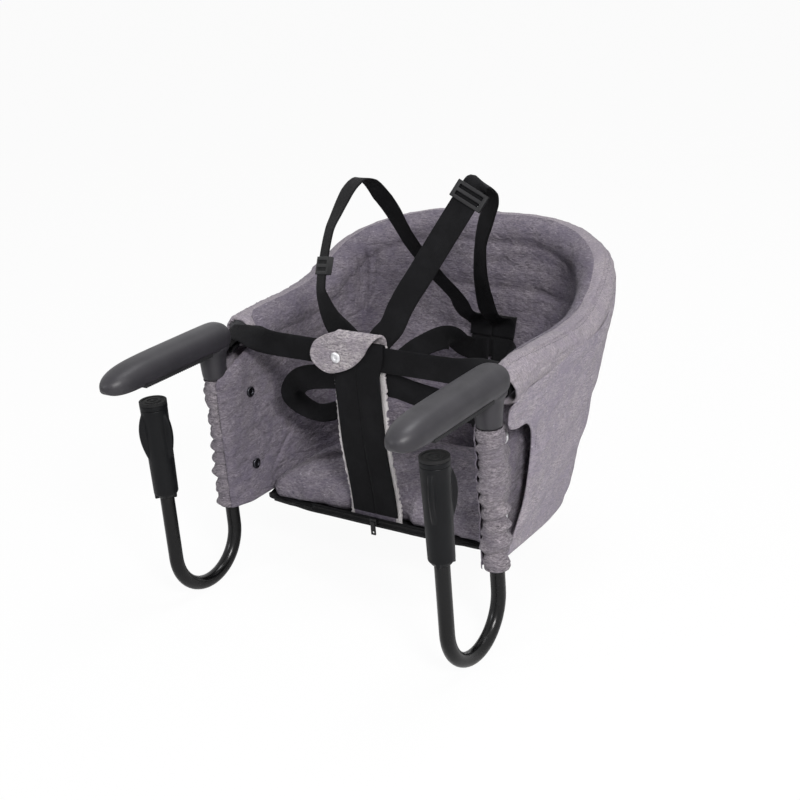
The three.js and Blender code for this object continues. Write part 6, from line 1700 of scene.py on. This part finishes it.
def clamp_knob(label):
    """The turning grip, a hollow tapered cylinder with rounded fins."""
    x = SIDES[label] * HALF_SPACING
    bottom = KNOB_TOP - KNOB_LENGTH
    ceiling = KNOB_TOP - KNOB_CROWN
    outside = eased([
        (KNOB_STEM_BORE, KNOB_TOP), (KNOB_TOP_RADIUS, KNOB_TOP), (KNOB_BOTTOM_RADIUS, bottom + KNOB_CHAMFER),
        (KNOB_BORE + (KNOB_BOTTOM_RADIUS - KNOB_BORE) / 4, bottom), (KNOB_BORE, bottom)], KNOB_ROUNDING, 4)
    steps = np.linspace(KNOB_TOP - KNOB_EDGE, bottom + KNOB_CHAMFER + KNOB_EDGE, KNOB_ROWS)
    order = outside[:, 1].argsort()
    profile = [p for p in outside if p[1] > steps[0]]
    profile += [(np.interp(z, outside[order, 1], outside[order, 0]), z) for z in steps]
    profile += [p for p in outside if p[1] < steps[-1]]
    inside = [(KNOB_BORE, KNOB_NUT_TOP + TOUCH_GAP), (KNOB_HEAD_BORE, KNOB_NUT_TOP + TOUCH_GAP),
              (KNOB_HEAD_BORE, ceiling), (KNOB_STEM_BORE, ceiling)]
    turns = full_turn(KNOB_COLUMNS)
    fin_top = KNOB_TOP - KNOB_FIN_TOP
    rings = []
    for index, (radius, z) in enumerate([*profile, *inside]):
        size = radius + 0 * turns
        if index < len(profile) and radius > KNOB_BORE + 1 * MM:
            t = np.clip((fin_top - z) / KNOB_FIN_LENGTH, 0, 1)
            rise = math.sin(math.pi * t ** 0.85) ** 0.9 if 0 < t < 1 else 0.0
            for k in range(KNOB_FIN_COUNT):
                apart = np.angle(np.exp(1j * (turns - FIN_TURN[label] - 2 * math.pi * k / KNOB_FIN_COUNT)))
                distance = np.abs(apart) * KNOB_TOP_RADIUS
                reach = max(KNOB_BOTTOM_RADIUS + KNOB_FIN_DEPTH * rise - radius, 0)
                size = size + reach * np.exp(-((distance / (KNOB_FIN_FULLNESS * KNOB_FIN_THICKNESS)) ** 4))
        rings.append(np.column_stack([
            x + size * np.cos(turns), -HOOK_LEG_SPACING + size * np.sin(turns), z + 0 * turns]))
    obj = loft(f"{label}_turning_grip", np.array(rings), closed=True)
    dress(obj, KNOB_PLASTIC, f"{label}_clamp_knob", sharp=50)


def clamp_pad(label):
    """The rubber pad with raised rings."""
    x = SIDES[label] * HALF_SPACING
    bottom = PAD_TOP - PAD_THICKNESS
    profile = [(0, bottom), (PAD_RADIUS, bottom)]
    width = PAD_RADIUS / (2 * PAD_RING_COUNT + 1)
    for k in range(PAD_RING_COUNT):
        outer = PAD_RADIUS - 2 * k * width
        profile += [(outer, PAD_TOP), (outer - width, PAD_TOP)]
        profile += [(outer - width, PAD_TOP - PAD_RING_DEPTH), (outer - 2 * width, PAD_TOP - PAD_RING_DEPTH)]
    profile += [(width, PAD_TOP), (0, PAD_TOP)]
    obj = turned(f"{label}_ringed_pad", eased(profile, PAD_ROUNDING), (x, -HOOK_LEG_SPACING, 0))
    dress(obj, PAD_RUBBER, f"{label}_clamp_pad", sharp=50)


def pad_carrier(label):
    """The plate under the pad with its headed stem."""
    low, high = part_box(f"{label}_pad_carrier")
    x = SIDES[label] * HALF_SPACING
    top = high.z
    bottom = top - CARRIER_THICKNESS
    stem_bottom = KNOB_TOP - KNOB_CROWN - TOUCH_GAP
    head = CARRIER_STEM_RADIUS + CARRIER_HEAD_STEP
    profile = eased([
        (0, top), (PAD_RADIUS, top), (PAD_RADIUS, bottom), (CARRIER_STEM_RADIUS, bottom),
        (CARRIER_STEM_RADIUS, stem_bottom), (head, stem_bottom), (head, low.z), (0, low.z)], CARRIER_ROUNDING)
    obj = turned(f"{label}_pad_plate", profile, (x, -HOOK_LEG_SPACING, 0))
    dress(obj, KNOB_PLASTIC, f"{label}_pad_carrier", sharp=50)


# Repeats: zip teeth and stitches

ZIP_PITCH = 2.4 * MM
ZIP_MARGIN = 3 * MM
ZIP_HOLLOW = 0.25 * MM
ZIP_SETBACK = 0.35 * MM
ZIP_WAVE = 0.06 * MM
TOOTH_SIZE = np.array([1.0, 0.9, 1.5]) * MM
TOOTH_BEVEL = 0.2 * MM
STITCH_PITCH = 3.2 * MM
STITCH_LENGTH = 2.2 * MM
THREAD_RADIUS = 0.28 * MM
THREAD_LIFT = 0.35


def repeat_nodes(name, *inputs):
    """An empty geometry node tree with number inputs, its input node and the identifiers of those inputs."""
    tree = bpy.data.node_groups.new(name, "GeometryNodeTree")
    tree.interface.new_socket("Geometry", in_out="INPUT", socket_type="NodeSocketGeometry")
    keys = {key: tree.interface.new_socket(key, in_out="INPUT", socket_type="NodeSocketFloat").identifier
            for key in inputs}
    tree.interface.new_socket("Geometry", in_out="OUTPUT", socket_type="NodeSocketGeometry")
    nodes = Nodes(tree)
    return nodes, nodes.node("NodeGroupInput"), keys


def repeated(name, finish, mesh, nodes, points, form, settings, turning=None):
    """Puts a form on each point as real geometry, and keeps it as a piece of the seat."""
    forms = nodes.node("GeometryNodeInstanceOnPoints", values={"Points": points, "Instance": form, **(turning or {})})
    real = nodes.node("GeometryNodeRealizeInstances", values={"Geometry": nodes.wire(forms)})
    painted = nodes.node("GeometryNodeSetMaterial", values={"Geometry": nodes.wire(real), "Material": finish})
    nodes.node("NodeGroupOutput", values={"Geometry": nodes.wire(painted)})
    obj = placed(name, mesh)
    modifier = obj.modifiers.new("Repeats", "NODES")
    modifier.node_group = nodes.tree
    for key, value in settings.items():
        modifier[key] = value
    settle(obj)
    paint(obj, finish)
    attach(obj, "seat")


def zip_run():
    """The zip's tape, slightly wavy and hollow along its middle, with its teeth."""
    low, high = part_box("base_zip")
    across = np.linspace(low.x, high.x, 120)[None]
    heights = np.linspace(high.z, low.z, 12)[:, None]
    wave = ZIP_WAVE * np.sin(across / (9 * MM))
    hollow = ZIP_HOLLOW * bell(heights, (low.z + high.z) / 2, 1.0 * MM)
    front = spots(across, low.y + ZIP_SETBACK + wave + hollow, heights)
    back = spots(across, high.y - 0.1 * MM, heights)
    obj = slab("zip_band", front, back, weave=spots(across, heights))
    dress(obj, ZIP_TAPE, "base_zip")
    zip_teeth(low, high)


def zip_teeth(low, high):
    """Two meshed rows of small teeth along the zip's middle."""
    tooth = block(-TOOTH_SIZE / 2, TOOTH_SIZE / 2)
    bevelled(tooth, TOOTH_BEVEL)
    middle = (low.z + high.z) / 2
    for row, side, shift in (("lower", -1, 0), ("upper", 1, ZIP_PITCH / 2)):
        nodes, given, keys = repeat_nodes("TeethAlongLine", "Pitch")
        offset = nodes.node("ShaderNodeCombineXYZ", values={"X": nodes.wire(given, "Pitch")})
        line = nodes.node("GeometryNodeMeshLine", {"mode": "OFFSET"}, {
            "Count": int((high.x - low.x) / ZIP_PITCH) - 2, "Offset": nodes.wire(offset),
            "Start Location": (low.x + ZIP_MARGIN + shift, low.y + 0.15 * MM, middle + side * 0.5 * MM)})
        form = nodes.node("GeometryNodeObjectInfo", values={"Object": tooth})
        repeated(f"zip_teeth_{row}", ZIP_NYLON, bpy.data.meshes.new("teeth"), nodes, nodes.wire(line),
                 nodes.wire(form, "Geometry"), {keys["Pitch"]: ZIP_PITCH})
    bpy.data.objects.remove(tooth)


def stitches(name, line, surface):
    """A row of rounded thread stitches along a line of points, laid on a surface."""
    tree = BVHTree.FromObject(surface, bpy.context.evaluated_depsgraph_get())
    walk = Line(line)
    count = int(walk.length / STITCH_PITCH)
    shares = (np.arange(count) + 0.5) / count
    hits = [tree.find_nearest(Vector(place))[:2] for place in walk.at(shares)]
    mesh = bpy.data.meshes.new(name)
    mesh.from_pydata([tuple(hit + out * THREAD_RADIUS * THREAD_LIFT) for hit, out in hits], [], [])
    for key, ways in (("way", walk.way(shares)), ("out", [tuple(out) for _, out in hits])):
        layer = mesh.attributes.new(key, "FLOAT_VECTOR", "POINT")
        layer.data.foreach_set("vector", np.asarray(ways, float).ravel())
    nodes, given, keys = repeat_nodes("StitchesOnPoints", "Length", "Radius")
    ball = nodes.node("GeometryNodeMeshIcoSphere", values={"Radius": 1.0, "Subdivisions": 2})
    rounded = nodes.node("GeometryNodeSetShadeSmooth", values={"Geometry": nodes.wire(ball)})
    along, away = (
        nodes.wire(nodes.node("GeometryNodeInputNamedAttribute", {"data_type": "FLOAT_VECTOR"}, {"Name": key}),
                   "Attribute") for key in ("way", "out"))
    turn = nodes.node("FunctionNodeAxesToRotation", {"primary_axis": "X", "secondary_axis": "Z"},
                      {"Primary Axis": along, "Secondary Axis": away})
    half = nodes.node("ShaderNodeMath", {"operation": "MULTIPLY"}, {0: nodes.wire(given, "Length"), 1: 0.5})
    radius = nodes.wire(given, "Radius")
    size = nodes.node("ShaderNodeCombineXYZ", values={"X": nodes.wire(half), "Y": radius, "Z": radius})
    repeated(name, THREAD, mesh, nodes, nodes.wire(given, "Geometry"), nodes.wire(rounded),
             {keys["Length"]: STITCH_LENGTH, keys["Radius"]: THREAD_RADIUS},
             {"Rotation": nodes.wire(turn), "Scale": nodes.wire(size)})


# Camera, light and floor

# Name, place, target, size, power and colour of each lamp
LAMPS = (
    ("key", (1.75, -1.25, 1.45), (0, 0.1, -0.05), 0.7, 58, (1.0, 0.985, 0.98)),
    ("fill", (-1.1, -1.7, 1.0), (0, 0.15, -0.05), 0.5, 8, (0.95, 0.96, 1.0)),
    ("top", (0.3, 0.5, 2.1), (0, 0.15, 0), 0.9, 21, (0.98, 0.98, 1.0)),
)
WHITE = (1, 1, 1, 1)
SENSOR_WIDTH = 36
AMBIENT_STRENGTH = 0.2
FLOOR_GLOW = 0.95
FLOOR_REACH = 30.0
FLOOR_GAP = 0.5 * MM


def aimed(name, data, place, way, roll=0.0):
    """A camera or lamp at a place, looking along a way."""
    obj = placed(name, data)
    obj.location = place
    obj.rotation_mode = "QUATERNION"
    obj.rotation_quaternion = way.to_track_quat("-Z", "Y") @ Quaternion((0, 0, 1), roll)
    return obj


def camera():
    data = bpy.data.cameras.new("Camera")
    data.lens = CAMERA_LENS
    data.sensor_width = SENSOR_WIDTH
    data.clip_end = 80
    level = math.cos(CAMERA_ELEVATION)
    way = -Vector((
        math.sin(CAMERA_AZIMUTH) * level, -math.cos(CAMERA_AZIMUTH) * level, math.sin(CAMERA_ELEVATION)))
    SCENE.camera = aimed("Camera", data, CAMERA_PLACE, way, CAMERA_ROLL)


def lamp(name, place, target, size, power, colour):
    data = bpy.data.lights.new(name, "AREA")
    data.shape = "DISK"
    data.size = size
    data.energy = power
    data.color = colour
    aimed(name, data, place, Vector(target) - Vector(place))


def studio():
    """The lamps, a dim world for the shade, and white wherever the camera or a reflection looks past the chair."""
    for row in LAMPS:
        lamp(*row)
    world = bpy.data.worlds.new("World")
    SCENE.world = world
    world.use_nodes = True
    nodes = Nodes(world.node_tree, "ShaderNode")
    soft = nodes.tree.nodes["Background"]
    soft.inputs["Color"].default_value = WHITE
    soft.inputs["Strength"].default_value = AMBIENT_STRENGTH
    white = nodes.node("Background", values={"Color": WHITE, "Strength": 1.0})
    rays = nodes.node("LightPath")
    seen = nodes.wire(rays, "Is Camera Ray")
    for ray in ("Is Glossy Ray", "Is Transmission Ray"):
        seen = nodes.wire(nodes.node("Math", {"operation": "MAXIMUM"}, {0: seen, 1: nodes.wire(rays, ray)}))
    choose = nodes.node("MixShader", values={0: seen, 1: nodes.wire(soft), 2: nodes.wire(white)})
    nodes.fill(nodes.tree.nodes["World Output"].inputs["Surface"], nodes.wire(choose))
    SCENE.view_settings.view_transform = "Standard"


def floor():
    """A white floor that keeps the chair's shadow."""
    corners = [(x, y, CAD_BOX[0].z - FLOOR_GAP) for x, y in (
        (-FLOOR_REACH, -FLOOR_REACH), (FLOOR_REACH, -FLOOR_REACH), (FLOOR_REACH, FLOOR_REACH),
        (-FLOOR_REACH, FLOOR_REACH))]
    mesh = bpy.data.meshes.new("floor")
    mesh.from_pydata(corners, [], [(0, 1, 2, 3)])
    finish = Finish("floor_white", roughness=1.0)
    tint = finish.noise(finish.place(), scale=3.0)
    finish.feed("Base Color", finish.mix(tint * 0.05, (0.9, 0.9, 0.9, 1), (0.86, 0.86, 0.86, 1)))
    glow = finish.node("Emission", values={"Color": WHITE, "Strength": 1.0})
    seen = finish.wire(finish.node("LightPath"), "Is Camera Ray") * FLOOR_GLOW
    choose = finish.node("MixShader", values={0: seen, 1: finish.wire(finish.surface), 2: finish.wire(glow)})
    finish.fill(finish.tree.nodes["Material Output"].inputs["Surface"], finish.wire(choose))
    mesh.materials.append(finish.material)
    placed("floor", mesh)


# The whole chair

def build():
    rim_sleeve()
    liner()
    shell()
    crotch_flap()
    crotch_panel()
    base_cover()
    seat_cushion()
    zip_run()
    yoke()
    for label in SIDES:
        arm_cover(label)
        arm_grip(label)
        hook_tube(label)
        clamp_knob(label)
        clamp_pad(label)
        pad_carrier(label)
        tube_sleeve(label)
        for level in ("upper", "lower"):
            snap_cap(f"{label}_{level}_snap", "X", SIDES[label], SNAP_HEIGHT)
            snap_stud(f"{label}_{level}_snap", "X", SIDES[label])
        strap(f"{label}_crotch_band", f"{label}_crotch_webbing", sway=panel_bow)
        strap(f"{label}_shoulder_band", f"{label}_shoulder_strap")
        strap(f"{label}_waist_band", f"{label}_waist_strap")
        glide = bevelled(welded(f"{label}_strap_slider", f"{label}_strap_glide"), 0.7 * MM)
        dress(glide, BOARD, f"{label}_strap_slider")
        for part in ("arm_core", "hook_retainer", "thread_rod", "clamp_nut", "grip_screw_front", "grip_screw_rear"):
            paint(NODES[f"{label}_{part}"], STEEL)
        paint(NODES[f"{label}_socket_bush"], NYLON)
    snap_cap("flap_snap", "Y", -1, 0)
    strap("cross_belt", "front_belt")
    slider = bevelled(welded("zip_slider", "zip_pull_tab"), 0.4 * MM)
    dress(slider, ZIP_NYLON, "zip_slider")
    for node, finish in (("back_rail", TUBE_PAINT), ("rail_foam", FOAM), ("seat_board", BOARD)):
        paint(NODES[node], finish)


camera()
studio()
floor()
build()
